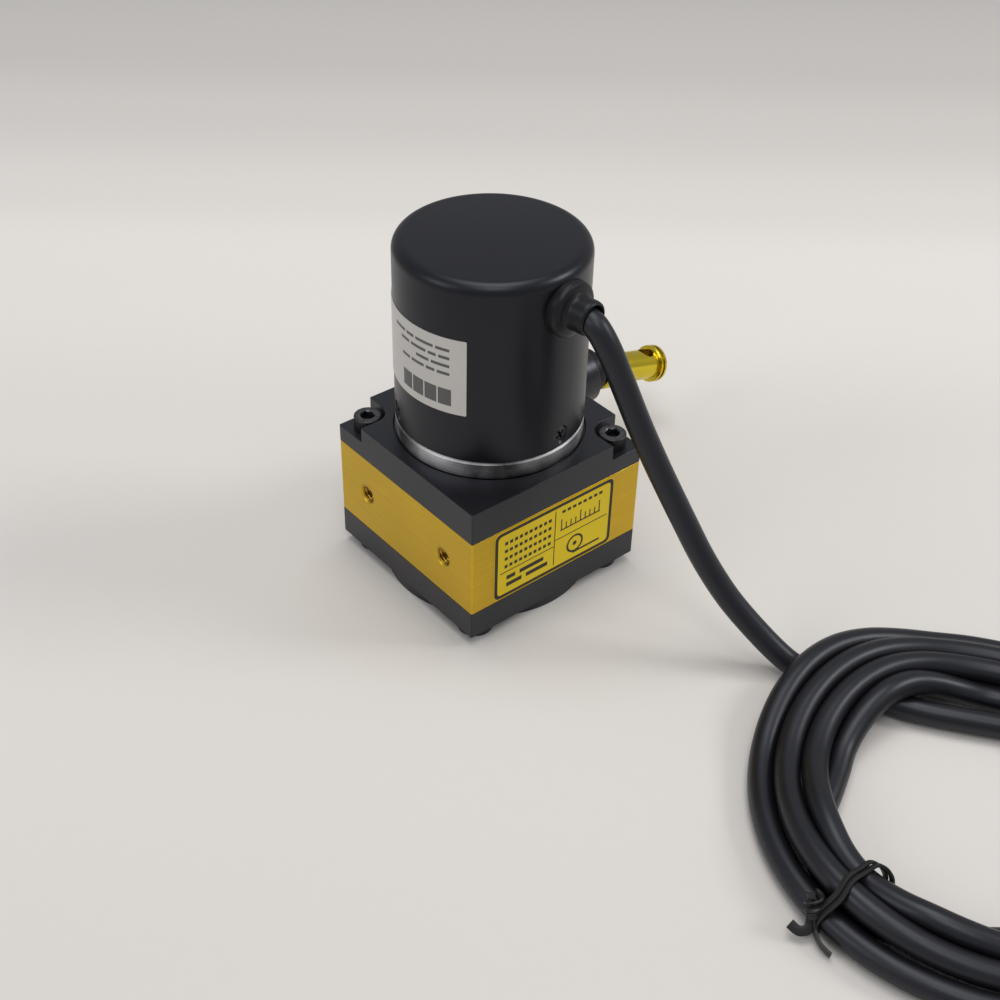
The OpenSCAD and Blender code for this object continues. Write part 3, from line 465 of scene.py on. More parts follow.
class Pattern(Enum):
    """How a finish's fine marks are stretched in the piece's own coordinates."""

    GRAIN = (1.0, 1.0, 1.0)
    BRUSHED_LEVEL = (0.02, 0.02, 1.0)
    TURNED = (0.004, 0.004, 1.0)


FLOAT = "NodeSocketFloat"
VECTOR = "NodeSocketVector"


def feed(node: Node, inputs: dict[str | int, object]) -> Node:
    """Links or sets a node's inputs.

    Args:
        node: The node.
        inputs: For each input, the socket that it is linked from or the value that it holds.

    Returns:
        The node.
    """
    for key, given in inputs.items():
        if isinstance(given, Socket):
            node.id_data.links.new(given, node.inputs[key])
        else:
            node.inputs[key].default_value = given
    return node


def add_node(tree: Tree, kind: str, inputs: dict[str | int, object], **settings: object) -> Node:
    """Adds a shader node.

    Args:
        tree: The nodes that it joins.
        kind: Its type, without ShaderNode before it.
        inputs: What goes into it, as feed takes it.
        settings: Its own options.

    Returns:
        The node.
    """
    node = tree.nodes.new(f"ShaderNode{kind}")
    for option, choice in settings.items():
        setattr(node, option, choice)
    return feed(node, inputs)


def new_group(name: str, inputs: dict[str, str], outputs: tuple[str, ...]) -> Tree:
    """An empty shader node group with named sockets.

    Args:
        name: The group's name.
        inputs: Socket names and types of what goes in.
        outputs: Names of the values that come out.

    Returns:
        The group, with its ends named in and out.
    """
    tree = bpy.data.node_groups.new(name, "ShaderNodeTree")
    for label, kind in inputs.items():
        tree.interface.new_socket(label, in_out="INPUT", socket_type=kind)
    for label in outputs:
        tree.interface.new_socket(label, in_out="OUTPUT", socket_type=FLOAT)
    tree.nodes.new("NodeGroupInput").name = "in"
    tree.nodes.new("NodeGroupOutput").name = "out"
    return tree


def fine_marks_group() -> Tree:
    """Grain, brushing or turning marks: a noise stretched along the way that the marks run.

    Returns:
        The group. Its Height feeds a bump, and its Mask is the same pattern from 0 to 1.
    """
    sockets = {"Vector": VECTOR, "Stretch": VECTOR, "Scale": FLOAT, "Depth": FLOAT}
    tree = new_group("fine_marks", sockets, ("Height", "Mask"))
    given = tree.nodes["in"].outputs
    axes = {0: given["Vector"], 1: given["Stretch"]}
    stretched = add_node(tree, "VectorMath", axes, operation="MULTIPLY").outputs[0]
    grain = {"Vector": stretched, "Scale": given["Scale"], "Detail": 3.0, "Roughness": 0.6}
    noise = add_node(tree, "TexNoise", grain)
    mask = noise.outputs["Fac"]
    height = add_node(tree, "Math", {0: mask, 1: given["Depth"]}, operation="MULTIPLY")
    feed(tree.nodes["out"], {"Height": height.outputs[0], "Mask": mask})
    return tree


def wear_and_painted_light_group() -> Tree:
    """Wear and painted light: soft cloudy patches over the surface, and a mask along its outer edges.

    Returns:
        The group. Patches runs from 0 to 1, and Edge is 1 on an outer edge and 0 elsewhere. The patches give
        random tone, and painted reflections where a finish tints them strongly; the edge mask makes edges
        lighter, partly as wear and partly as a painted highlight.
    """
    sockets = {"Vector": VECTOR, "Patch Scale": FLOAT, "Edge Sharpness": FLOAT}
    tree = new_group("wear_and_painted_light", sockets, ("Patches", "Edge"))
    given = tree.nodes["in"].outputs
    clouds = {"Vector": given["Vector"], "Scale": given["Patch Scale"], "Detail": 4.0}
    noise = add_node(tree, "TexNoise", clouds)
    bent = add_node(tree, "NewGeometry", {}).outputs["Pointiness"]
    flat = 0.52
    above = add_node(tree, "Math", {0: bent, 1: flat}, operation="SUBTRACT")
    sharpness = {0: above.outputs[0], 1: given["Edge Sharpness"]}
    edge = add_node(tree, "Math", sharpness, operation="MULTIPLY", use_clamp=True)
    feed(tree.nodes["out"], {"Patches": noise.outputs["Fac"], "Edge": edge.outputs[0]})
    return tree


FINE_MARKS = fine_marks_group()
WEAR_AND_PAINTED_LIGHT = wear_and_painted_light_group()
MADE_FINISHES: dict[str, bpy.types.Material] = {}


def swing(tree: Tree, mask: Socket, middle: float, reach: float) -> Socket:
    """A value that swings about its middle with a mask.

    Args:
        tree: The material's nodes.
        mask: A value about 0.5, which seldom leaves 0.3 to 0.7.
        middle: The value where the mask is 0.5.
        reach: How far the value goes each way.

    Returns:
        The socket of the value.
    """
    ends = {"From Min": 0.3, "From Max": 0.7, "To Min": middle - reach, "To Max": middle + reach}
    return add_node(tree, "MapRange", {"Value": mask, **ends}).outputs["Result"]


def tint(tree: Tree, under: Color | Socket, mask: Socket, share: float) -> Socket:
    """Lightens and darkens a colour by a mask.

    Args:
        tree: The material's nodes.
        under: The colour before.
        mask: A value about 0.5.
        share: How far the colour goes each way, as a share of itself.

    Returns:
        The socket of the new colour.
    """
    gain = swing(tree, mask, 1.0, share)
    return add_node(tree, "VectorMath", {0: under, "Scale": gain}, operation="SCALE").outputs[0]


@dataclass(frozen=True)
class Finish:
    """One surface finish: linear colours, marks and patches to a metre, and their depth."""

    name: str
    color: Color
    roughness: float
    metallic: float = 0.0
    specular: float = 0.5
    specular_tint: Color = (1.0, 1.0, 1.0)
    coat: float = 0.0
    coat_roughness: float = 0.15
    transmission: float = 0.0
    pattern: Pattern = Pattern.GRAIN
    mark_scale: float = 2500.0
    mark_depth: float = 0.004
    mark_tint: float = 0.06
    bump_strength: float = 0.6
    patch_scale: float = 45.0
    patch_tint: float = 0.08
    roughness_swing: float = 0.06
    edge_color: Color | None = None
    edge_share: float = 0.5
    edge_sharpness: float = 9.0

    def material(self) -> bpy.types.Material:
        """The finish as a node material, made once.

        Returns:
            The material.
        """
        if self.name in MADE_FINISHES:
            return MADE_FINISHES[self.name]
        made = MADE_FINISHES[self.name] = bpy.data.materials.new(self.name)
        made.use_nodes = True
        made.diffuse_color = (*self.color, 1.0)
        tree = made.node_tree
        where = {"Vector": add_node(tree, "TexCoord", {}).outputs["Object"]}
        marking = {"Stretch": self.pattern.value, "Scale": self.mark_scale, "Depth": self.mark_depth}
        marks = add_node(tree, "Group", where | marking, node_tree=FINE_MARKS)
        wear_and_light_inputs = {"Patch Scale": self.patch_scale, "Edge Sharpness": self.edge_sharpness}
        wear_and_light = add_node(tree, "Group", where | wear_and_light_inputs, node_tree=WEAR_AND_PAINTED_LIGHT)
        # The patches are random tone, and painted reflections in a finish that tints them strongly.
        patches = wear_and_light.outputs["Patches"]
        color = tint(tree, self.color, marks.outputs["Mask"], self.mark_tint)
        color = tint(tree, color, patches, self.patch_tint)
        # Painted highlight and wear: edge_color lightens the outer edges by the Edge mask, partly as worn
        # metal and partly as a painted edge highlight.
        if self.edge_color:
            edge_wear_and_highlight = add_node(tree, "Math", {0: wear_and_light.outputs["Edge"], 1: self.edge_share}, operation="MULTIPLY")
            layers = {"Factor": edge_wear_and_highlight.outputs[0], "A": color, "B": (*self.edge_color, 1.0)}
            color = add_node(tree, "Mix", layers, data_type="RGBA").outputs["Result"]
        relief = {"Height": marks.outputs["Height"], "Strength": self.bump_strength, "Distance": MM}
        feed(tree.nodes["Principled BSDF"], {
            "Base Color": color,
            "Roughness": swing(tree, patches, self.roughness, self.roughness_swing),
            "Normal": add_node(tree, "Bump", relief).outputs["Normal"],
            "Metallic": self.metallic,
            "Specular IOR Level": self.specular,
            "Specular Tint": (*self.specular_tint, 1.0),
            "Coat Weight": self.coat,
            "Coat Roughness": self.coat_roughness,
            "Transmission Weight": self.transmission,
        })
        return made


COOL = (0.86, 0.89, 1.0)
METAL = {"metallic": 1.0}
TURNED = METAL | {"pattern": Pattern.TURNED}
BRUSHED = METAL | {"pattern": Pattern.BRUSHED_LEVEL}

BLACK_ANODISED = Finish(
    "satin_black_anodise", (0.009, 0.009, 0.0115), 0.34, specular=0.52, specular_tint=COOL,
    mark_scale=5200, mark_depth=0.008, patch_tint=0.06,
)
GOLD_ANODISED = Finish(
    "brushed_gold_anodise", (0.67, 0.445, 0.04), 0.45, **BRUSHED, mark_scale=3800, mark_depth=0.006,
    mark_tint=0.065, patch_tint=0.05, roughness_swing=0.04,
)
# Painted shade: a darker gold than the block's, which stands for the shade inside the tapped holes.
SHADED_GOLD_THREAD = Finish("gold_thread_painted_shade", (0.42, 0.25, 0.035), 0.32, **METAL, mark_depth=0.002)
BRIGHT_GOLD = Finish(
    "bright_gold", (0.74, 0.58, 0.04), 0.2, **TURNED, mark_scale=5200, mark_depth=0.0015,
    mark_tint=0.05, roughness_swing=0.04,
)
POWDER_BLACK = Finish(
    "black_powder_coat", (0.0032, 0.0032, 0.0055), 0.34, specular=0.4, specular_tint=COOL,
    mark_scale=1500, mark_tint=0.03, patch_tint=0.04, roughness_swing=0.03,
)
# Painted reflection: patch_tint 0.9 turns the random patches into strong bright and dark blotches, which
# paint the ring's patchy reflections into its colour on top of random tone.
TURNED_ALUMINIUM = Finish(
    "turned_aluminium", (0.4, 0.4, 0.41), 0.5, **TURNED, mark_scale=2400, mark_depth=0.05,
    mark_tint=0.2, patch_scale=85, patch_tint=0.9, roughness_swing=0.12,
)
# edge_color paints the screws' edges lighter: partly worn oxide, partly a painted edge highlight.
BLACK_OXIDE = Finish(
    "oxide_blackened_steel", (0.05, 0.05, 0.054), 0.4, metallic=0.9, mark_scale=4200,
    edge_color=(0.25, 0.25, 0.26), edge_share=0.35,
)
PLAIN_STEEL = Finish("ground_steel", (0.5, 0.5, 0.51), 0.28, **TURNED)
BEARING_STEEL = Finish("polished_bearing_steel", (0.62, 0.62, 0.64), 0.14, **TURNED, mark_depth=0.001)
SPRING_STEEL = Finish("blued_spring_steel", (0.2, 0.24, 0.32), 0.3, **BRUSHED)
ZINC = Finish("zinc_plate", (0.58, 0.59, 0.6), 0.34, **METAL, mark_depth=0.002)
BRASS = Finish("machined_brass", (0.62, 0.44, 0.16), 0.28, **TURNED)
ROPE_STEEL = Finish("stainless_rope", (0.52, 0.52, 0.53), 0.3, **METAL, mark_tint=0.15)
CERAMIC = Finish("white_ceramic", (0.78, 0.76, 0.7), 0.12, coat=0.5, mark_depth=0.001)
RUBBER = Finish(
    "moulded_rubber", (0.007, 0.007, 0.008), 0.42, specular=0.32, specular_tint=COOL,
    mark_scale=2600, mark_depth=0.005, patch_tint=0.12, roughness_swing=0.07,
)
SHEATH = Finish(
    "cable_sheath", (0.006, 0.006, 0.008), 0.39, specular_tint=COOL, mark_scale=900,
    mark_depth=0.006, mark_tint=0.05, patch_tint=0.1, roughness_swing=0.05,
)
TIE_PLASTIC = Finish("dull_tie_plastic", (0.012, 0.012, 0.013), 0.42, specular=0.4)
SILVER_FILM = Finish(
    "silver_film", (0.555, 0.535, 0.515), 0.42, metallic=0.15, mark_scale=1800, mark_depth=0.001,
    mark_tint=0.02, patch_tint=0.03,
)
YELLOW_FILM = Finish(
    "yellow_film", (0.80, 0.59, 0.003), 0.4, specular=0.3, mark_scale=1500, mark_depth=0.001,
    mark_tint=0.02, patch_tint=0.04,
)
DARK_INK = Finish("dark_ink", (0.03, 0.02, 0.012), 0.42, specular=0.3, mark_depth=0.0005)
GREY_INK = Finish("grey_ink", (0.09, 0.09, 0.09), 0.45, mark_depth=0.0005)
CIRCUIT = Finish("solder_mask", (0.02, 0.12, 0.05), 0.3, coat=0.4)
BLACK_PLASTIC = Finish("moulded_black_plastic", (0.02, 0.02, 0.021), 0.42)
NATURAL_PLASTIC = Finish("uncoloured_plastic", (0.72, 0.69, 0.6), 0.45, mark_depth=0.003)
RED_INSULATION = Finish("red_insulation", (0.5, 0.04, 0.03), 0.4)
DISC_GLASS = Finish("etched_disc_glass", (0.5, 0.6, 0.62), 0.06, transmission=0.6, mark_depth=0.0)
FLOOR_PAPER = Finish(
    "floor_paper", (0.694, 0.669, 0.641), 0.75, specular=0.25, mark_scale=300, mark_depth=0.002,
    mark_tint=0.004, patch_scale=2.5, patch_tint=0.012,
)


def finish_piece(piece: Piece, finish: Finish, slot: str, *nodes: str, body: str = "housing") -> Piece:
    """Gives a piece its finish and its body, and hides the CAD nodes that it stands for.

    Args:
        piece: The piece.
        finish: Its finish.
        slot: The record's material slot; not used.
        nodes: The CAD nodes that it stands for.
        body: The body that it rides on.

    Returns:
        The piece.
    """
    piece.data.materials.clear()
    piece.data.materials.append(finish.material())
    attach(piece, body)
    if nodes:
        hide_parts(*nodes)
    LOG.info("%s rides on %s", piece.name, body)
    return piece


def dress(finish: Finish, *nodes: str) -> None:
    """Gives CAD nodes that keep their own shape a finish.

    Args:
        finish: The finish.
        nodes: The nodes' names.
    """
    for node in nodes:
        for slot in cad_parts[node].material_slots:
            slot.material = finish.material()
        LOG.info("%s keeps its shape", node)


# ---- camera and stage


@dataclass(frozen=True)
class Lamp:
    """One square soft lamp, which faces a point at some height on the drum axis."""

    name: str
    where: Point3
    facing_height: float
    side: float
    watts: float
    color: Color

    def light(self) -> None:
        """Adds the lamp to the scene."""
        data = bpy.data.lights.new(self.name, "AREA")
        data.shape = "SQUARE"
        data.size = self.side
        data.energy = self.watts
        data.color = self.color
        made = add_object(self.name, data)
        made.location = self.where
        aim = Vector((0, 0, self.facing_height)) - Vector(self.where)
        made.rotation_euler = aim.to_track_quat("-Z", "Y").to_euler()


@dataclass
class Studio:
    """The camera, the lamps and the pale floor, with painted bands of light and shade. Here lengths are
    metres and angles degrees.
    """

    eye: Point3 = (-0.16443, -0.19729, 0.21605)
    azimuth: float = -130.389
    elevation: float = 38.222
    roll: float = 1.433
    view_angle: float = 36.6
    nearest: float = 0.01
    floor_half: float = 3.0
    # Painted light and shade: levels, at distances along the view's direction, that scale the floor's colour.
    painted_floor_light: tuple[Point2, ...] = (
        (-0.115, 0.97), (-0.06, 1.0), (-0.017, 0.985), (0.04, 1.02), (0.107, 1.095), (0.135, 1.105),
        (0.167, 1.03), (0.226, 0.9), (0.278, 0.805), (0.4, 0.71),
    )
    lamps: tuple[Lamp, ...] = (
        Lamp("overhead", (0.1, 0.1, 1.3), 0.0, 0.7, 5.8, (1.0, 0.985, 0.96)),
        Lamp("front_box", (-0.33, -0.42, 1.07), 0.05, 0.4, 2.1, (1.0, 0.99, 0.97)),
        Lamp("left_window", (-1.1, 0.25, 0.75), 0.03, 0.5, 2.4, (0.98, 0.99, 1.0)),
        Lamp("right_window", (0.82, -0.62, 0.8), 0.05, 0.35, 4.0, (1.0, 0.99, 0.97)),
    )
    room_color: Color = (0.92, 0.93, 0.96)
    room_strength: float = 0.42

    def camera(self) -> None:
        """Puts the camera at its place."""
        az, el, roll = (math.radians(a) for a in (self.azimuth, self.elevation, self.roll))
        back = Vector((math.cos(el) * math.cos(az), math.cos(el) * math.sin(az), math.sin(el)))
        right = Vector((0, 0, 1)).cross(back).normalized()
        up = back.cross(right)
        side = right * math.cos(roll) + up * math.sin(roll)
        top = -right * math.sin(roll) + up * math.cos(roll)
        data = bpy.data.cameras.new("camera")
        data.angle = math.radians(self.view_angle)
        data.clip_start = self.nearest
        turned = Matrix((side, top, back)).transposed().to_4x4()
        bpy.context.scene.camera = place(add_object("camera", data), Matrix.Translation(self.eye) @ turned)

    def floor(self) -> None:
        """Lays the floor."""
        half = self.floor_half / MM
        corners = [(x, y, 0) for x, y in rectangle(-half, -half, half, half)]
        made = mesh_object("floor", corners, [[0, 1, 2, 3]])
        made.data.materials.append(FLOOR_PAPER.material())
        self.shade_floor(FLOOR_PAPER.material().node_tree)

    def shade_floor(self, tree: Tree) -> None:
        """Paints light and shade into the floor's colour in soft bands across its length, as the light on a
        backdrop that curves up falls off.

        Args:
            tree: The nodes of the floor's material.
        """
        shader = tree.nodes["Principled BSDF"]
        under = shader.inputs["Base Color"].links[0].from_socket
        where = add_node(tree, "TexCoord", {}).outputs["Object"]
        away = math.radians(self.azimuth + 180)
        ahead = (math.cos(away), math.sin(away), 0.0)
        along = add_node(tree, "VectorMath", {0: where, 1: ahead}, operation="DOT_PRODUCT").outputs["Value"]
        first, last = self.painted_floor_light[0][0], self.painted_floor_light[-1][0]
        share = add_node(tree, "MapRange", {"Value": along, "From Min": first, "From Max": last})
        ramp = add_node(tree, "ValToRGB", {"Fac": share.outputs["Result"]})
        ramp.color_ramp.interpolation = "EASE"
        knots = ramp.color_ramp.elements
        for distance, _ in self.painted_floor_light[1:-1]:
            knots.new((distance - first) / (last - first))
        for knot, (_, level) in zip(knots, self.painted_floor_light):
            knot.color = (level, level, level, 1.0)
        shaded = add_node(tree, "VectorMath", {0: under, 1: ramp.outputs["Color"]}, operation="MULTIPLY")
        feed(shader, {"Base Color": shaded.outputs[0]})

    def build(self) -> None:
        """Builds camera, floor, lamps and world."""
        self.camera()
        self.floor()
        for lamp in self.lamps:
            lamp.light()
        world = bpy.data.worlds.new("room")
        world.use_nodes = True
        room = {"Color": (*self.room_color, 1.0), "Strength": self.room_strength}
        feed(world.node_tree.nodes["Background"], room)
        bpy.context.scene.world = world
        bpy.context.scene.view_settings.view_transform = "Standard"


# ---- signal cable


@dataclass(frozen=True)
class CoilTurn:
    """One turn of the coiled cable: where it lies, in the tie and over the lead.

    A turn with a hop lies higher on both sides of the tie, where another passes beneath it.
    """

    radius: float
    height: float
    tie_radius: float
    tie_height: float
    crossing_radius: float
    hop: float = 0.0


@dataclass(frozen=True)
class Hump:
    """A stretch of the coil about an azimuth, in degrees, which is drawn softly to another place."""

    azimuth: float
    reach: float

    def apart(self, azimuth: float) -> float:
        """How many degrees an azimuth lies from the hump's own."""
        return abs((azimuth - self.azimuth + 180) % 360 - 180)

    def share(self, azimuth: float) -> float:
        """1 at the hump's own azimuth, falling softly to 0 at its reach."""
        off = self.apart(azimuth)
        return math.cos(0.5 * math.pi * off / self.reach) ** 2 if off < self.reach else 0.0


@dataclass
class SignalCable:
    """The cable from the can to the coil on the floor, and the wire tie round the coil."""

    diameter: float = 5.0
    centre: Point2 = (26.0, -117.5)
    start_azimuth: float = 25.0
    end_azimuth: float = 14.0
    azimuth_step: int = 10
    change_azimuths: Point2 = (20.0, -80.0)
    tied: Hump = Hump(173.0, 50)
    hop_offset: float = 23.0
    hop_reaches: Point2 = (22.0, 32.0)
    crossing: Hump = Hump(80.0, 42)
    crossing_drift: float = 3.0
    crossing_height: float = 7.65
    squeezed: Hump = Hump(28.0, 50)
    squeeze: float = 2.6
    route: tuple[Point3, ...] = (
        (1.8, -15, 70.3), (2.25, -19, 70.3), (2.6, -22.4, 70.3), (2.8, -25.6, 69.9), (3.05, -27.7, 68.5),
        (3.8, -30.0, 65.0), (5.1, -32.7, 58.9), (6.7, -36.2, 51), (8.9, -40.5, 41.8), (11.7, -45.5, 31.5),
        (14.1, -50.1, 22.8), (16.8, -55.4, 15), (19.8, -61.4, 8.6), (22.1, -66.7, 4.4),
        (23.6, -70.2, 2.8), (24.7, -72.8, 2.6), (27.3, -79.2, 2.6), (30.0, -86.3, 2.6),
        (33.6, -93.2, 2.6), (38.0, -99.4, 2.6), (42.4, -105.2, 2.6),
    )
    turns: tuple[CoilTurn, ...] = (
        CoilTurn(20.8, 2.6, 20.8, 2.6, 20.8),
        CoilTurn(30.0, 2.6, 39.4, 2.9, 29.3),
        CoilTurn(34.4, 5.6, 35.8, 6.3, 34.3, 1.7),
        CoilTurn(39.3, 5.0, 40.6, 7.4, 39.3),
        CoilTurn(43.9, 2.6, 44.4, 2.9, 44.3),
    )
    tie_ring: tuple[Point3, ...] = (
        (31.6, 2.2, 4.6), (32.3, 1.4, 7.6), (34.0, 0.3, 9.2), (36.4, 0.2, 9.1), (40.5, 1.0, 10.2),
        (43.6, 2.0, 8.8), (46.3, 1.3, 5.6), (47.1, 1.0, 2.8), (45.0, 1.0, 0.6), (38.0, 1.2, 0.55),
        (33.5, 2.0, 1.3),
    )
    tie_inner_side: float = 35.0
    tie_loops: tuple[Point2, ...] = ((-0.3, 0.0), (0.8, 0.5))
    knot_ends: tuple[Point3, Point3] = ((45.6, -0.9, 7.6), (47.0, 0.5, 4.2))
    knot_turns: float = 1.6
    knot_radius: float = 0.8
    tail_facings: tuple[Point3, Point3] = ((0.43, 0.66, 0.62), (0.8, -0.1, -0.3))
    tie_tails: tuple[tuple[Point3, ...], ...] = (
        ((47.0, 0.3, 4.6), (47.6, 1.0, 3.4), (48.4, 1.5, 2.6), (49.8, 0.8, 2.3), (50.5, -0.9, 2.9)),
        ((46.9, 0.6, 4.6), (47.4, 1.4, 3.4), (47.7, 2.3, 2.4), (48.2, 4.6, 1.6), (47.9, 6.8, 1.2)),
    )
    path: list[Vector] = field(default_factory=list)

    def turn_at(self, number: int, azimuth: float) -> tuple[float, float]:
        """Where a turn lies at an azimuth.

        Args:
            number: The turn's number, inside first.
            azimuth: The direction from the coil's centre, in degrees.

        Returns:
            Its radius and height.
        """
        turn = self.turns[min(number, len(self.turns) - 1)]
        tied = self.tied.share(azimuth)
        radius = between(turn.radius, turn.tie_radius, tied)
        height = between(turn.height, turn.tie_height, tied)
        beside = self.tied.apart(azimuth)
        inner_reach, outer_reach = self.hop_reaches
        hop = Hump(self.hop_offset, inner_reach if beside < self.hop_offset else outer_reach)
        height += turn.hop * hop.share(beside)
        if number > 0:
            raised = self.crossing.share(azimuth - self.crossing_drift * number)
            height = between(height, self.crossing_height, raised)
            radius = between(radius, turn.crossing_radius, raised)
            radius -= self.squeeze * self.squeezed.share(azimuth)
        return radius, height

    def coil_points(self) -> list[Point3]:
        """The coil's turns from the inside out, clockwise.

        Returns:
            One point for each step of azimuth.
        """
        made: list[Point3] = []
        first, last = self.change_azimuths
        total = self.start_azimuth - self.end_azimuth + 360 * (len(self.turns) - 1)
        for i in range(int(total / self.azimuth_step) + 1):
            azimuth = self.start_azimuth - self.azimuth_step * i
            number = int((180 - azimuth) // 360)
            local = azimuth + 360 * number
            share = min(max((first - local) / (first - last), 0.0), 1.0)
            share = share * share * (3 - 2 * share)
            here, further = self.turn_at(number, local), self.turn_at(number + 1, local)
            radius, height = (between(a, b, share) for a, b in zip(here, further))
            made.append((*arc(self.centre, radius, azimuth, azimuth, 1)[0], height))
        return made

    def cable(self) -> Piece:
        """The whole cable as one curve.

        Returns:
            The cable.
        """
        corners = [Vector(p) * MM for p in (*self.route, *self.coil_points())]
        self.path = spline_points(corners, 5)
        data = bpy.data.curves.new("signal_cord", "CURVE")
        data.dimensions = "3D"
        data.bevel_depth = self.diameter / 2 * MM
        data.bevel_resolution = 7
        data.use_fill_caps = True
        line = data.splines.new("POLY")
        line.points.add(len(self.path) - 1)
        for knot, point in zip(line.points, self.path):
            knot.co = (*point, 1.0)
        line.use_smooth = True
        return add_object("signal_cord", data)

    def strip(
        self, name: str, path: list[Vector], width: float, facing: Vector, closed: bool = False
    ) -> Piece:
        """A stretch of the tie's flat plastic strip.

        Args:
            name: Its name.
            path: The points that it follows.
            width: Its width.
            facing: The way that its flat side faces at the start.
            closed: Whether it is a loop.

        Returns:
            The strip.
        """
        half_width, half_thick, corner = width / 2, 0.27, 0.22
        section = rounded(rectangle(-half_width, -half_thick, half_width, half_thick), corner, 2)
        return sweep(name, path, section, facing, closed=closed)

    def tie(self) -> Piece:
        """The wire tie: two loops round the bundle, a twisted knot at its outer side and two tails.

        Its own frame has +X outwards from the coil, +Y along the turns and +Z up.

        Returns:
            The tie.
        """
        parts, steps = [], 6
        for number, (along, slack) in enumerate(self.tie_loops):
            ring = []
            for r, t, z in self.tie_ring:
                ring.append(Vector((r - slack if r < self.tie_inner_side else r, t + along, z)))
            loop = spline_points(ring[-1:] + ring + ring[:2], steps)[steps : -steps - 1]
            parts.append(self.strip(f"tie_loop_{number}", loop, 1.1, Vector((-1, 0, 0.1)), closed=True))
        top, low = (Vector(end) for end in self.knot_ends)
        axis = (low - top).normalized()
        side = axis.orthogonal()
        for number in (0, 1):
            path = []
            for share in (i / 32 for i in range(33)):
                turned = Matrix.Rotation(number * math.pi + self.knot_turns * TURN * share, 3, axis) @ side
                path.append(top.lerp(low, share) + turned * self.knot_radius)
            parts.append(self.strip(f"tie_twist_{number}", path, 1.2, side))
        for number, (facing, tail) in enumerate(zip(self.tail_facings, self.tie_tails)):
            path = spline_points([Vector(p) for p in tail], steps)
            parts.append(self.strip(f"tie_tail_{number}", path, 1.8, Vector(facing)))
        made = smooth(join(parts[0], parts[1:]), 35)
        made.name = "wire_tie"
        return place(made, shift(*self.centre, 0) @ spin(math.radians(self.tied.azimuth)))

    def build(self) -> None:
        cord = finish_piece(self.cable(), SHEATH, "cable_pvc", "signal_cable", "cable_coil")
        tie = finish_piece(self.tie(), TIE_PLASTIC, "tie_plastic", "cable_tie")


# ---- housing


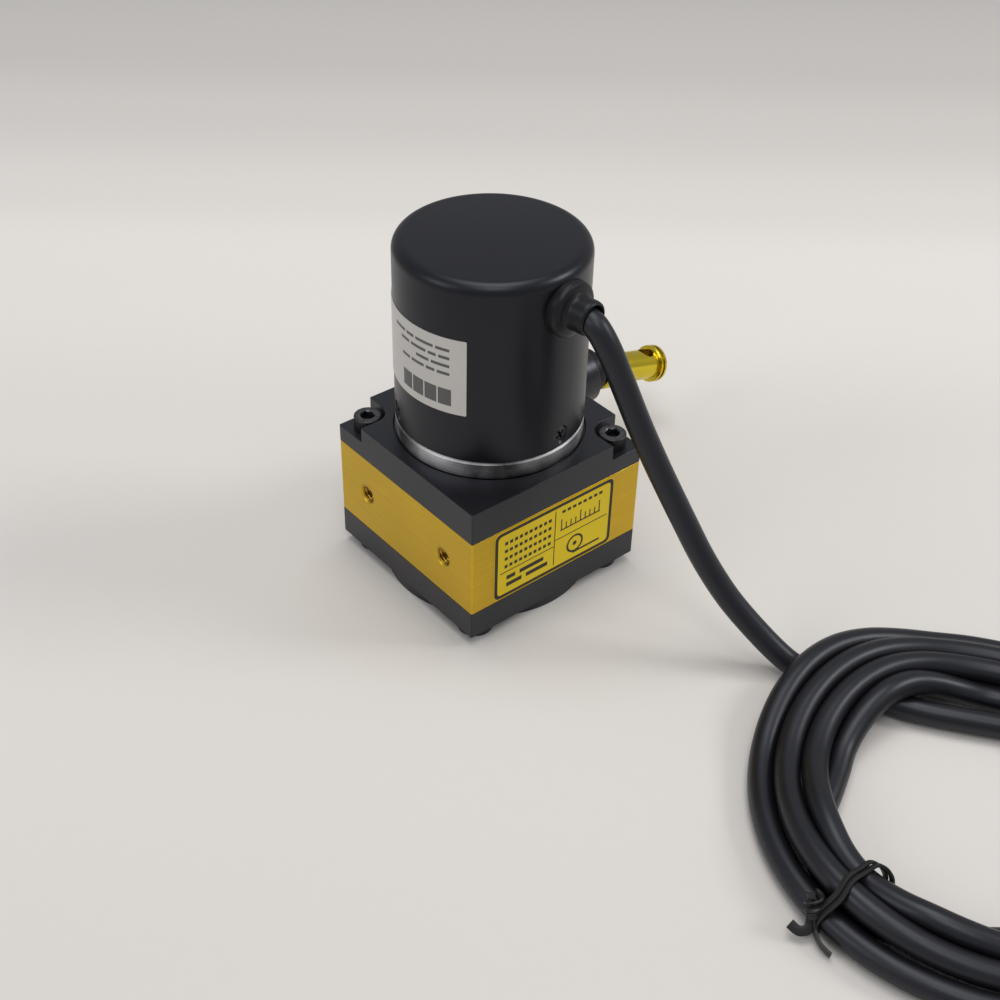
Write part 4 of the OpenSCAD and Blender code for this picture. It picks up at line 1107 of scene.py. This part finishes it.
@dataclass
class Housing:
    """The square lower part: spring cover, drum housing, top plate and their screws."""

    edge: float = 0.14
    block_edge: float = 0.24
    corner_chamfer: float = 0.25
    cover_plate_rise: float = 2.6
    screw_inset: float = 4.4
    cover_screw_inset: float = 5.1
    cover_screw_seat: float = 3.3
    cover_screw_room: float = 0.15
    step_depth: float = 3.5
    step_radius: float = 3.75
    relief_width: float = 0.45
    relief_depth: float = 0.7
    foot_radius: float = 3.75
    boss_margin: float = 0.4
    head_radius: float = 2.95
    key_size: float = 2.8
    key_depth: float = 1.6
    head_height: float = 3.0
    shank_radius: float = 1.45
    hole_spacing: float = 26.0
    thread_radius: float = 2.0
    thread_pitch: float = 0.7
    thread_depth: float = 5.5
    thread_start: float = 0.3
    half: float = 0.0
    levels: dict[str, float] = field(default_factory=dict)

    def __post_init__(self) -> None:
        """Reads the levels of the joints from the frame."""
        low, high = box_of("spring_cover")
        self.half = high.x
        self.levels = {
            "base": low.z,
            "cover": low.z + self.cover_plate_rise,
            "block": box_of("drum_housing")[0].z,
            "plate": box_of("top_plate")[0].z,
            "ring": box_of("top_plate")[1].z,
        }

    def square(self) -> list[Point2]:
        """The plates' outline, with chamfered corners."""
        h, s = self.half, self.half - self.corner_chamfer
        return [(h, s), (s, h), (-s, h), (-h, s), (-h, -s), (-s, -h), (s, -h), (h, -s)]

    def spring_cover(self) -> Piece:
        """The bottom plate with its base boss, corner feet and counterbored screw holes.

        Returns:
            The plate.
        """
        base, joint = self.levels["base"], self.levels["cover"]
        plate = prism("bottom_plate", self.square(), joint, self.levels["block"])
        parts = [rod("boss", self.half - self.boss_margin, base, joint + OVER, 128)]
        cutters = []
        a = self.half - self.cover_screw_inset
        for quarter in range(4):
            corner = spin(quarter * math.pi / 2) @ shift(a, a, 0)
            parts.append(place(rod("foot", self.foot_radius, base, joint + OVER), corner))
            bore = rod("bore", self.head_radius + self.cover_screw_room, -OVER, self.cover_screw_seat)
            cutters.append(place(bore, corner))
        combine(plate, parts, Solid.ADD)
        combine(plate, cutters, Solid.CUT)
        return soften(plate, self.edge)

    def hole_frame(self, side: int) -> Matrix:
        """The frame of a tapped hole, with +Z into the block. Side is -1 or 1, towards -Y or +Y."""
        middle = (self.levels["block"] + self.levels["plate"]) / 2
        return shift(-self.half, side * self.hole_spacing / 2, middle) @ Z_TO_X

    def drum_housing(self) -> Piece:
        """The gold block with the two tapped holes.

        Returns:
            The block.
        """
        block = prism("gold_block", self.square(), self.levels["block"], self.levels["plate"])
        r, sink, depth = self.thread_radius, 0.35, self.thread_depth
        mouth = r + sink
        cone_foot, tip = (mouth + OVER, -OVER), (0, depth + OVER)
        profile = [(0, -OVER), cone_foot, (mouth, 0), (r, sink), (r, depth), tip]
        cutters = [place(lathe("hole", profile, 48), self.hole_frame(side)) for side in (-1, 1)]
        combine(block, cutters, Solid.CUT)
        return soften(block, self.block_edge)

    def thread(self, side: int) -> Piece:
        """The thread inside one tapped hole, as a sleeve with a helical bore.

        Args:
            side: -1 or 1, for the hole towards -Y or +Y.

        Returns:
            The thread.
        """
        steps, quarters = 40, 4
        crest, root, outer = (self.thread_radius + off for off in (-0.34, -0.01, 0.2))
        rows = int(self.thread_depth / self.thread_pitch * quarters)
        verts: list[Point3] = []
        for j in range(rows + 1):
            depth = min(self.thread_start + self.thread_pitch * j / quarters, self.thread_depth)
            for share in (k / steps for k in range(steps)):
                rise = (j / quarters + share) % 1.0
                radius = between(crest, root, abs(2 * rise - 1))
                verts.append((radius * math.cos(TURN * share), radius * math.sin(TURN * share), depth))
        for depth in (self.thread_depth, self.thread_start):
            verts += [(x, y, depth) for x, y in circle(outer, steps)]
        faces = []
        for j in range(rows + 3):
            here, further = j * steps, (j + 1) % (rows + 3) * steps
            for k, n in ((k, (k + 1) % steps) for k in range(steps)):
                faces.append([here + k, here + n, further + n, further + k])
        made = mesh_object(f"tapped_thread_{'right' if side < 0 else 'left'}", verts, faces)
        return place(smooth(made, 60), self.hole_frame(side))

    def top_plate(self) -> Piece:
        """The top plate with its two corner steps and the relief groove round the flange's foot.

        Returns:
            The plate.
        """
        ring = self.levels["ring"]
        plate = prism("upper_plate", self.square(), self.levels["plate"], ring)
        r, outer = self.step_radius, self.screw_inset + OVER
        outline = arc((0, 0), r, 180, 270, 12) + [(outer, -r), (outer, outer), (-r, outer)]
        a = self.half - self.screw_inset
        cutters = []
        for turn in (0, math.pi):
            cutter = prism("step", outline, ring - self.step_depth, ring + OVER)
            cutters.append(place(cutter, spin(turn) @ shift(a, -a, 0) @ spin(-math.pi / 2)))
        foot, low = box_of("encoder_can")[1].x, ring - self.relief_depth
        relief = rectangle(foot - 0.3, low, foot + self.relief_width, low + OVER)
        cutters.append(lathe("relief", relief, 128))
        combine(plate, cutters, Solid.CUT)
        return soften(plate, self.edge)

    def socket_screw(self, name: str, where: Matrix) -> Piece:
        """A socket head screw with a knurled head.

        Args:
            name: The piece's name.
            where: The frame of its seat, with +Z towards the head.

        Returns:
            The screw.
        """
        r, h, shank, crown = self.head_radius, self.head_height, self.shank_radius, 0.32
        profile = [(0, -1.5), (shank, -1.5), (shank, 0.02), (r - 0.15, 0.02), (r, 0.2), (r, h - 0.5)]
        profile += arc((r - crown, h - crown), crown, 0, 90, 4) + [(0, h)]
        head = lathe(name, profile, 144, Knurl(36, 0.13, 0.19, h - 0.49))
        k = self.key_size / 2
        key = prism("key", circle(k / math.cos(math.pi / 6), 6), h - self.key_depth, h + OVER)
        cone = lathe("cone", [(0, h - 0.25), (k, h - 0.25), (k + 0.35, h + 0.1), (0, h + 0.1)], 48)
        combine(head, [key, cone], Solid.CUT)
        return place(smooth(head, 32), where)

    def build(self) -> None:
        """Builds the housing's pieces."""
        finish_piece(self.spring_cover(), BLACK_ANODISED, "black_anodised", "spring_cover")
        finish_piece(self.drum_housing(), GOLD_ANODISED, "gold_anodised", "drum_housing")
        finish_piece(self.top_plate(), BLACK_ANODISED, "black_anodised", "top_plate")
        for side in (-1, 1):
            # The threads take the darker gold that paints the shade inside the holes.
            finish_piece(self.thread(side), SHADED_GOLD_THREAD, "gold_anodised")
        a, seat = self.half - self.screw_inset, self.levels["ring"] - self.step_depth
        for number, s in enumerate((1, -1)):
            where = shift(s * a, -s * a, seat) @ spin(0.35 + number)
            screw = self.socket_screw(f"plate_screw_{number}", where)
            finish_piece(screw, BLACK_OXIDE, "black_oxide_steel", "plate_screws")
        b = self.half - self.cover_screw_inset
        for number, (x, y) in enumerate(((-b, -b), (-b, b), (b, -b), (b, b))):
            where = shift(x, y, self.cover_screw_seat) @ spin(math.pi, "X")
            screw = self.socket_screw(f"cover_screw_{number}", where)
            finish_piece(screw, BLACK_OXIDE, "black_oxide_steel", "cover_screws")


# ---- encoder


@dataclass
class Encoder:
    """The can on top with its screws, label and cable grommet."""

    cable_azimuth: float = -83.0
    wall: float = 1.5
    edge_radius: float = 2.5
    rim_groove_height: float = 0.3
    rim_groove_depth: float = 0.5
    screw_rise: float = 3.0
    screw_sink: float = 0.42
    screw_head_radius: float = 1.7
    cross_length: float = 2.4
    cross_width: float = 0.56
    cross_depth: float = 0.5
    cable_rise: float = 32.3
    flange_radius: float = 5.7
    neck_radius: float = 3.5
    grommet_bore: float = 2.6
    grommet_length: float = 6.4
    label_azimuths: Point2 = (-243.0, -143.0)
    label_rows: tuple[tuple[float, ...], ...] = (
        (9.0, 13.0, 6.5, 11.0), (7.0, 5.5, 12.0, 8.0), (12.0, 9.5), (8.0, 6.0, 10.0, 7.5),
    )
    radius: float = 0.0
    low: float = 0.0
    high: float = 0.0

    def __post_init__(self) -> None:
        """Reads the can's size from the frame."""
        low, high = box_of("encoder_can")
        self.radius = (high.x - low.x) / 2
        self.low, self.high = low.z, high.z

    def outwards(self, azimuth: float, rise: float, distance: float) -> Matrix:
        """A frame on the can, at an azimuth in degrees: +Z points outwards, and +X upwards."""
        at = shift(distance, 0, self.low + rise)
        return spin(math.radians(azimuth)) @ at @ Z_TO_X @ spin(math.pi)

    def screw_azimuths(self) -> list[float]:
        """The directions of the three can screws."""
        return [self.cable_azimuth + 120 * i for i in range(3)]

    def can(self) -> Piece:
        """The can with its rounded top edge, a fine groove over the ring and countersunk screw holes.

        Returns:
            The can.
        """
        r, e, w = self.radius, self.edge_radius, self.wall
        inner, gap, burr = r - self.rim_groove_depth, self.rim_groove_height, 0.08
        tall = self.high - self.low
        profile = [(r - w, 0), (inner, 0), (inner, gap), (r - burr, gap), (r, gap + burr), (r, tall - e)]
        profile += arc((r - e, tall - e), e, 0, 90, 12)[1:]
        profile += [(0, tall), (0, tall - w), (r - w - 1, tall - w), (r - w, tall - w - 1)]
        can = place(lathe("can_shell", profile, 160), shift(0, 0, self.low))
        head = self.screw_head_radius
        cone = [(0, -OVER), (OVER, -OVER), (OVER, 0), (head + OVER, head), (0, head)]
        distance = r - self.screw_sink - head + OVER
        cutters = [
            place(lathe("countersink", cone, 48), self.outwards(azimuth, self.screw_rise, distance))
            for azimuth in self.screw_azimuths()
        ]
        combine(can, cutters, Solid.CUT)
        return smooth(can, 28)

    def can_screw(self, number: int, azimuth: float) -> Piece:
        """A countersunk screw with a cross recess.

        Args:
            number: Its number.
            azimuth: Its direction.

        Returns:
            The screw.
        """
        r = self.screw_head_radius
        dome = [(r * 0.8, 0.07), (r * 0.4, 0.12), (0, 0.13)]
        profile = [(0, -0.7), (r - 0.7, -0.7), (r - 0.05, -0.06), (r - 0.02, -0.02), *dome]
        head = lathe(f"can_screw_{number}", profile, 48)
        long, wide = self.cross_length / 2, self.cross_width / 2
        blades = [
            place(prism("blade", rectangle(-long, -wide, long, wide), -self.cross_depth, OVER), spin(turn))
            for turn in (0, math.pi / 2)
        ]
        combine(head, blades, Solid.CUT)
        where = self.outwards(azimuth, self.screw_rise, self.radius - self.screw_sink)
        return place(smooth(head, 30), where @ spin(0.5 + number))

    def grommet(self) -> Piece:
        """The rubber grommet: a domed flange on the can and a neck round the cable.

        Returns:
            The grommet.
        """
        f, n, b, end = self.flange_radius, self.neck_radius, self.grommet_bore, self.grommet_length
        profile = [
            (b, -1.8), (f - 0.1, -1.8), (f, 1.1), (f - 0.3, 1.75), (f - 1, 2.1), (n + 0.65, 2.25),
            (n + 0.12, 2.6), (n, 3.3), (n, end - 0.9), (n - 0.12, end - 0.3), (n - 0.45, end),
            (b + 0.25, end - 0.1), (b, end - 0.6),
        ]
        made = lathe("cable_gland", rounded(profile, 0.3, 4), 72)
        return place(smooth(made, 50), self.outwards(self.cable_azimuth, self.cable_rise, self.radius))

    def wrapped_patch(
        self, name: str, start: float, end: float, low: float, high: float, lift: float, corner: float = 0.0
    ) -> Piece:
        """A thin patch that lies on the can.

        Args:
            name: Its name.
            start: The azimuth of its first edge, in degrees.
            end: The azimuth of its last edge.
            low: The height of its lower edge.
            high: The height of its upper edge.
            lift: How far its face stands over the can.
            corner: The radius of its corners.

        Returns:
            The patch.
        """
        wide = math.radians(end - start) * self.radius
        outline = rectangle(0, 0, wide, high - low)
        patch = prism(name, rounded(outline, corner, 5) if corner else outline, 0, lift)
        shape = bmesh.new()
        shape.from_mesh(patch.data)
        slices = max(2, int((end - start) / 2))
        for i in range(1, slices):
            whole = [*shape.verts, *shape.edges, *shape.faces]
            at = (wide * MM * i / slices, 0, 0)
            bmesh.ops.bisect_plane(shape, geom=whole, plane_co=at, plane_no=(1, 0, 0))
        for vert in shape.verts:
            x, y, z = vert.co / MM
            a, r = math.radians(start) + x / self.radius, self.radius + 0.01 + z
            vert.co = Vector((r * math.cos(a), r * math.sin(a), low + y)) * MM
        bmesh.ops.recalc_face_normals(shape, faces=shape.faces)
        shape.to_mesh(patch.data)
        shape.free()
        return smooth(patch, 40)

    def rating_label(self) -> None:
        """The silver label, bare but for rows of plain dashes and four blocks."""
        low, high = box_of("rating_label")
        start, end = self.label_azimuths
        base = self.wrapped_patch("rating_foil", start, end, low.z, high.z, 0.13, 0.25)
        finish_piece(base, SILVER_FILM, "silver_label", "rating_label")
        rows, face = [], 0.145
        top, pitch, half_height, gap = high.z - 2.6, 1.75, 0.32, 1.6
        for i, lengths in enumerate(self.label_rows):
            z, at = top - pitch * i, end - 10.0
            for length in lengths:
                dash = self.wrapped_patch("dash", at - length, at, z - half_height, z + half_height, face)
                rows.append(dash)
                at -= length + gap
        z, tall, wide, gap = low.z + 1.7, 3.7, 8.4, 1.0
        for i in range(4):
            at = end - 9.0 - (wide + gap) * i
            rows.append(self.wrapped_patch("block", at - wide, at, z, z + tall, face))
        printed = join(rows[0], rows[1:])
        printed.name = "rating_rows"
        finish_piece(printed, GREY_INK, "silver_label")

    def build(self) -> None:
        """Builds the encoder's outer pieces."""
        finish_piece(self.can(), POWDER_BLACK, "powder_black", "encoder_can")
        for number, azimuth in enumerate(self.screw_azimuths()):
            finish_piece(self.can_screw(number, azimuth), BLACK_OXIDE, "black_oxide_steel", "can_screws")
        finish_piece(self.grommet(), RUBBER, "black_rubber", "cable_grommet")
        self.rating_label()
        dress(TURNED_ALUMINIUM, "encoder_flange")


# ---- side label


@dataclass
class SideLabel:
    """The yellow label on the -Y face: a rounded border, dividers and plain marks.

    Marks are placed by shares of the width and height of the field inside the border.
    """

    border: float = 0.75
    line: float = 0.22
    corner: float = 1.6
    film: float = 0.12
    ink: float = 0.02
    dividers: tuple[tuple[float, ...], ...] = (
        (0.5, 0.0, 0.5, 1.0), (0.0, 0.36, 0.5, 0.36), (0.5, 0.46, 1.0, 0.46),
    )
    row_heights: tuple[float, ...] = (0.46, 0.6, 0.74, 0.88)
    wide_dashes: tuple[Point3, ...] = (
        (0.06, 0.2, 0.11), (0.24, 0.44, 0.11), (0.06, 0.14, 0.24), (0.18, 0.4, 0.24),
    )
    drum_place: Point2 = (0.68, 0.27)
    drum_radii: Point3 = (2.3, 1.8, 0.55)
    low: Vector = field(default_factory=Vector)
    high: Vector = field(default_factory=Vector)
    face: float = 0.0

    def __post_init__(self) -> None:
        """Reads the label's box and the face it lies on from the frame."""
        self.low, self.high = box_of("side_label")
        self.face = box_of("drum_housing")[0].y

    def at(self, inset: float, x: float, z: float) -> Point2:
        """The point at shares x and z of the label's box, drawn in by inset."""
        low, high = self.low, self.high
        return between(low.x + inset, high.x - inset, x), between(low.z + inset, high.z - inset, z)

    def outline(self, inset: float, corner: float) -> list[Point2]:
        """The label's outline, drawn in by inset, with rounded corners."""
        return rounded(rectangle(*self.at(inset, 0, 0), *self.at(inset, 1, 1)), corner, 6)

    def slab(self, name: str, outline: list[Point2], low: float, high: float) -> Piece:
        """A thin slab on the -Y face with an outline in X and Z.

        Args:
            name: Its name.
            outline: Its outline.
            low: The distance of its back from the face.
            high: The distance of its front.

        Returns:
            The slab.
        """
        made = prism(name, outline, low, high)
        made.data.transform(shift(0, self.face, 0) @ spin(math.pi / 2, "X"))
        return made

    def inked(self, name: str, outline: list[Point2]) -> Piece:
        """A printed shape, a little proud of the film."""
        return self.slab(name, outline, 0.5 * self.film, self.film + self.ink)

    def hole(self, outline: list[Point2]) -> Piece:
        """A cutter through the print."""
        return self.slab("hole", outline, 0, self.film + OVER)

    def bar(self, x0: float, z0: float, x1: float, z1: float, width: float) -> Piece:
        """A printed line between two points of the inner field.

        Args:
            x0: The first point's share of the width.
            z0: Its share of the height.
            x1: The last point's share of the width.
            z1: Its share of the height.
            width: The line's width.

        Returns:
            The line.
        """
        a, b = (Vector(self.at(2 * self.border, x, z)) for x, z in ((x0, z0), (x1, z1)))
        side = (b - a).normalized().orthogonal() * width / 2
        return self.inked("bar", [tuple(corner) for corner in (a + side, b + side, b - side, a - side)])

    def dashes(
        self, start: float, pitch: float, length: float, count: int, z: float, width: float
    ) -> list[Piece]:
        """A level row of equal dashes.

        Args:
            start: Where the first starts, as a share of the width.
            pitch: From one's start to the next one's.
            length: How long each is.
            count: How many there are.
            z: Their share of the height.
            width: Their width.

        Returns:
            The dashes.
        """
        starts = [start + pitch * k for k in range(count)]
        return [self.bar(x, z, x + length, z, width) for x in starts]

    def drum_mark(self) -> Piece:
        """A plain ring with a hub, as a sign for the drum.

        Returns:
            The mark.
        """
        centre = self.at(0, *self.drum_place)
        rim, inside, hub = (circle(r, 36, centre) for r in self.drum_radii)
        ring = combine(self.inked("drum_mark", rim), [self.hole(inside)], Solid.CUT)
        return join(ring, [self.inked("hub", hub)])

    def marks(self) -> list[Piece]:
        """The dividers and the plain marks in the fields.

        Returns:
            The printed marks.
        """
        made = [self.bar(*ends, self.line) for ends in self.dividers]
        for z in self.row_heights:
            made += self.dashes(0.04, 0.044, 0.027, 10, z, 0.8)
        made += [self.bar(x0, z, x1, z, 1.0) for x0, x1, z in self.wide_dashes]
        for k in range(9):
            x, top = 0.56 + 0.045 * k, 0.72 if k % 4 else 0.8
            made.append(self.bar(x, 0.60, x, top, 0.28))
        made.append(self.bar(0.55, 0.60, 0.93, 0.60, 0.35))
        made += self.dashes(0.56, 0.05, 0.032, 8, 0.93, 0.7)
        return [*made, self.drum_mark(), self.bar(0.68, 0.06, 0.94, 0.06, 0.5)]

    def build(self) -> None:
        """Builds the film and its print."""
        film = self.slab("side_film", self.outline(0.0, self.corner), 0.005, self.film)
        finish_piece(smooth(film, 30), YELLOW_FILM, "yellow_label", "side_label")
        ring = self.inked("side_print", self.outline(0.15 * self.border, self.corner))
        combine(ring, [self.hole(self.outline(1.2 * self.border, 0.7 * self.corner))], Solid.CUT)
        combine(ring, self.marks(), Solid.ADD)
        finish_piece(smooth(ring, 30), DARK_INK, "yellow_label")


# ---- wire outlet and fitting


@dataclass
class WireOutlet:
    """The nozzle, its bush and stop, the wire and the fitting at its end."""

    neck_radius: float = 5.0
    head_radius: float = 6.8
    head_length: float = 14.2
    bush_radius: float = 3.0
    bush_length: float = 2.7
    throat_radius: float = 0.7
    mouth_radius: float = 1.2
    stop_radius: float = 5.3
    stop_bore: float = 2.3
    stop_thickness: float = 3.0
    wire_radius: float = 0.4
    strands: int = 6
    lay_length: float = 5.0
    droop: float = 15.8
    end_gap: float = 5.0
    end_length: float = 20.0
    ferrule_radius: float = 1.2
    ferrule_length: float = 8.0
    barrel_radius: float = 3.65
    collar_radius: float = 4.45
    near_collar: float = 3.2
    far_collar: float = 2.4
    eye_radius: float = 2.0
    eye_inset: float = 4.5
    exit_at: Vector = field(default_factory=Vector)
    face_x: float = 0.0
    drum_x: float = 0.0

    def __post_init__(self) -> None:
        """Reads the outlet's place from the frame."""
        low, high = box_of("nozzle_bush")
        self.exit_at = Vector((high.x, (low.y + high.y) / 2, (low.z + high.z) / 2))
        self.face_x = box_of("drum_housing")[1].x
        self.drum_x = box_of("draw_wire")[0].x

    def along_wire(self, x: float) -> Matrix:
        """The frame on the wire's axis at x, with +Z outwards."""
        return shift(x, self.exit_at.y, self.exit_at.z) @ Z_TO_X

    def along_end(self) -> Matrix:
        """The frame of the hanging fitting, with +Z outwards from the outlet."""
        return shift(*self.exit_at) @ spin(math.radians(90 + self.droop), "Y")

    def nozzle(self) -> Piece:
        """The nozzle: neck, head with a groove, and a chamfered mouth.

        Returns:
            The nozzle.
        """
        n, h, b, e, floor = self.neck_radius, self.head_radius, self.bush_radius + 0.02, 0.4, 1.5
        end = self.exit_at.x - self.face_x
        neck, seat = end - self.head_length, end - self.bush_length
        profile = [
            (floor, -2), (n - 1, -2), (n - 1, 0.05), (n, 0.05), (n, neck), (h, neck), (h, neck + 4),
            (h - e, neck + 4), (h - e, neck + 5), (h, neck + 5), (h, end - e), (h - e, end),
            (b + 0.2, end), (b, end - 0.2), (b, seat), (floor, seat),
        ]
        made = lathe("outlet_nozzle", rounded(profile, 0.12, 3), 112)
        return place(smooth(made, 40), self.along_wire(self.face_x))

    def bush(self) -> Piece:
        """The guide bush with its rounded mouth.

        Returns:
            The bush.
        """
        long, throat, mouth = self.bush_length, self.throat_radius, self.mouth_radius
        profile = [(throat, 0), (self.bush_radius, 0), (self.bush_radius, long)]
        profile += arc((throat + mouth, long - mouth), mouth, 90, 180, 8)
        made = lathe("guide_bush", rounded(profile, 0.1, 3), 64)
        return place(smooth(made, 50), self.along_wire(self.exit_at.x - long))

    def stop(self) -> Piece:
        """The rubber stop in front of the outlet.

        Returns:
            The stop.
        """
        r, t, b, e = self.stop_radius, self.stop_thickness, self.stop_bore, 0.5
        profile = [(b, 0.02), (r, 0.02), (r, t - e), (r - e, t), (b + e, t), (b, t - e)]
        made = lathe("rubber_stop", rounded(profile, 0.4, 5), 80)
        return place(smooth(made, 50), self.along_wire(self.exit_at.x))

    def rope(self, name: str, start: Vector, end: Vector, count: int, up: Vector) -> Piece:
        """A straight stretch of the laid wire rope.

        Args:
            name: Its name.
            start: Its start.
            end: Its end.
            count: How many rows of points it has, less one.
            up: A direction across it.

        Returns:
            The rope.
        """
        section = []
        for a in (TURN * k / 36 for k in range(36)):
            r = self.wire_radius * (0.86 + 0.14 * abs(math.cos(self.strands * a / 2)))
            section.append((r * math.cos(a), r * math.sin(a)))
        path = [start.lerp(end, i / count) for i in range(count + 1)]
        return smooth(sweep(name, path, section, up, twist=TURN / self.lay_length), 60)

    def running_wire(self) -> Piece:
        """The wire from the drum to the outlet, which runs out as the drum turns."""
        drum = Vector((self.drum_x, self.exit_at.y, self.exit_at.z))
        return self.rope("running_wire", drum, self.exit_at, 160, Vector((0, 0, 1)))

    def tail(self) -> Piece:
        """The wire between the outlet and the ferrule."""
        start, end = Vector((0, 0, 0.1)), Vector((0, 0, self.end_gap + 4.1))
        return place(self.rope("wire_stub", start, end, 60, Vector((1, 0, 0))), self.along_end())

    def ferrule(self) -> Piece:
        """The crimped ferrule, just proud of the fitting's end.

        Returns:
            The ferrule.
        """
        bore, r, e = 0.43, self.ferrule_radius, 0.15
        start = self.end_gap - 0.4
        end = start + self.ferrule_length
        profile = [(bore, start), (r - e, start), (r, start + e), (r, end), (bore, end)]
        return place(smooth(lathe("crimp_ferrule", profile, 48), 40), self.along_end())

    def fitting(self) -> Piece:
        """The spool-shaped fitting with its cross hole and grooved far collar.

        Returns:
            The fitting.
        """
        start, far = self.end_gap, self.end_gap + self.end_length
        near, lip = start + self.near_collar, far - self.far_collar
        b, c, e, bore = self.barrel_radius, self.collar_radius, 0.4, 1.25
        floor, groove = c - 0.7, lip + 0.75
        profile = [
            (bore, start + 2), (bore, start), (c - e, start), (c, start + e), (c, near - e),
            (c - e, near), (b, near), (b, lip), (c - e, lip), (c, lip + e / 2), (c, groove),
            (floor, groove + 0.05), (floor, groove + 0.65), (c, groove + 0.7), (c, far - e),
            (c - e, far), (0, far), (0, start + 2),
        ]
        made = lathe("end_fitting", profile, 128)
        eye = place(rod("eye", self.eye_radius, -8, 8), shift(0, 0, far - self.eye_inset) @ Z_TO_X)
        combine(made, [eye], Solid.CUT)
        return place(soften(made, 0.14, 30), self.along_end())

    def build(self) -> None:
        """Builds the outlet's pieces."""
        finish_piece(self.nozzle(), BLACK_ANODISED, "black_anodised", "wire_nozzle")
        finish_piece(self.bush(), CERAMIC, "ceramic", "nozzle_bush")
        finish_piece(self.stop(), RUBBER, "black_rubber", "wire_bumper")
        wire = self.running_wire()
        wire.data.materials.append(ROPE_STEEL.material())
        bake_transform(wire)
        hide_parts("draw_wire")
        finish_piece(self.tail(), ROPE_STEEL, "wire_rope", "wire_tail", body="wire_fitting")
        finish_piece(self.ferrule(), PLAIN_STEEL, "plain_steel", "wire_ferrule", body="wire_fitting")
        finish_piece(self.fitting(), BRIGHT_GOLD, "yellow_gold", "wire_end", body="wire_fitting")


# ---- inner pieces


@dataclass
class InnerWorks:
    """The pieces inside the housing and the can, which keep their own shapes."""

    bearings: tuple[str, ...] = ("lower", "upper")

    def build(self) -> None:
        """Gives each inner piece its finish."""
        dress(SPRING_STEEL, "spiral_spring")
        dress(ZINC, "spring_plate", "board_screws")
        dress(PLAIN_STEEL, "spring_anchor", "drum_shaft", "drum_key", "encoder_shaft")
        dress(BLACK_OXIDE, "flange_screws", "coupling_screws")
        dress(TURNED_ALUMINIUM, "drum", "shaft_coupling", "disc_hub")
        dress(BEARING_STEEL, "encoder_outer_races", "encoder_inner_races")
        for end in self.bearings:
            dress(BEARING_STEEL, f"{end}_outer_race", f"{end}_inner_race")
            dress(BEARING_STEEL, f"{end}_balls", f"encoder_{end}_balls")
            dress(BRASS, f"{end}_cage", f"encoder_{end}_cage")
        dress(BRASS, "board_spacers")
        dress(ROPE_STEEL, "wound_wire")
        dress(CIRCUIT, "encoder_board")
        dress(BLACK_PLASTIC, "read_head")
        dress(NATURAL_PLASTIC, "cable_header")
        dress(RED_INSULATION, "board_leads")
        dress(DISC_GLASS, "code_disc")


def main() -> None:
    """Builds the studio and the sub-assemblies in order."""
    logging.basicConfig(level=logging.INFO, format="%(name)s: %(message)s")
    for assembly in (Studio(), SignalCable(), Housing(), Encoder(), SideLabel(), WireOutlet(), InnerWorks()):
        assembly.build()
        LOG.info("%s is done", type(assembly).__name__)


if __name__ == "__main__":
    main()
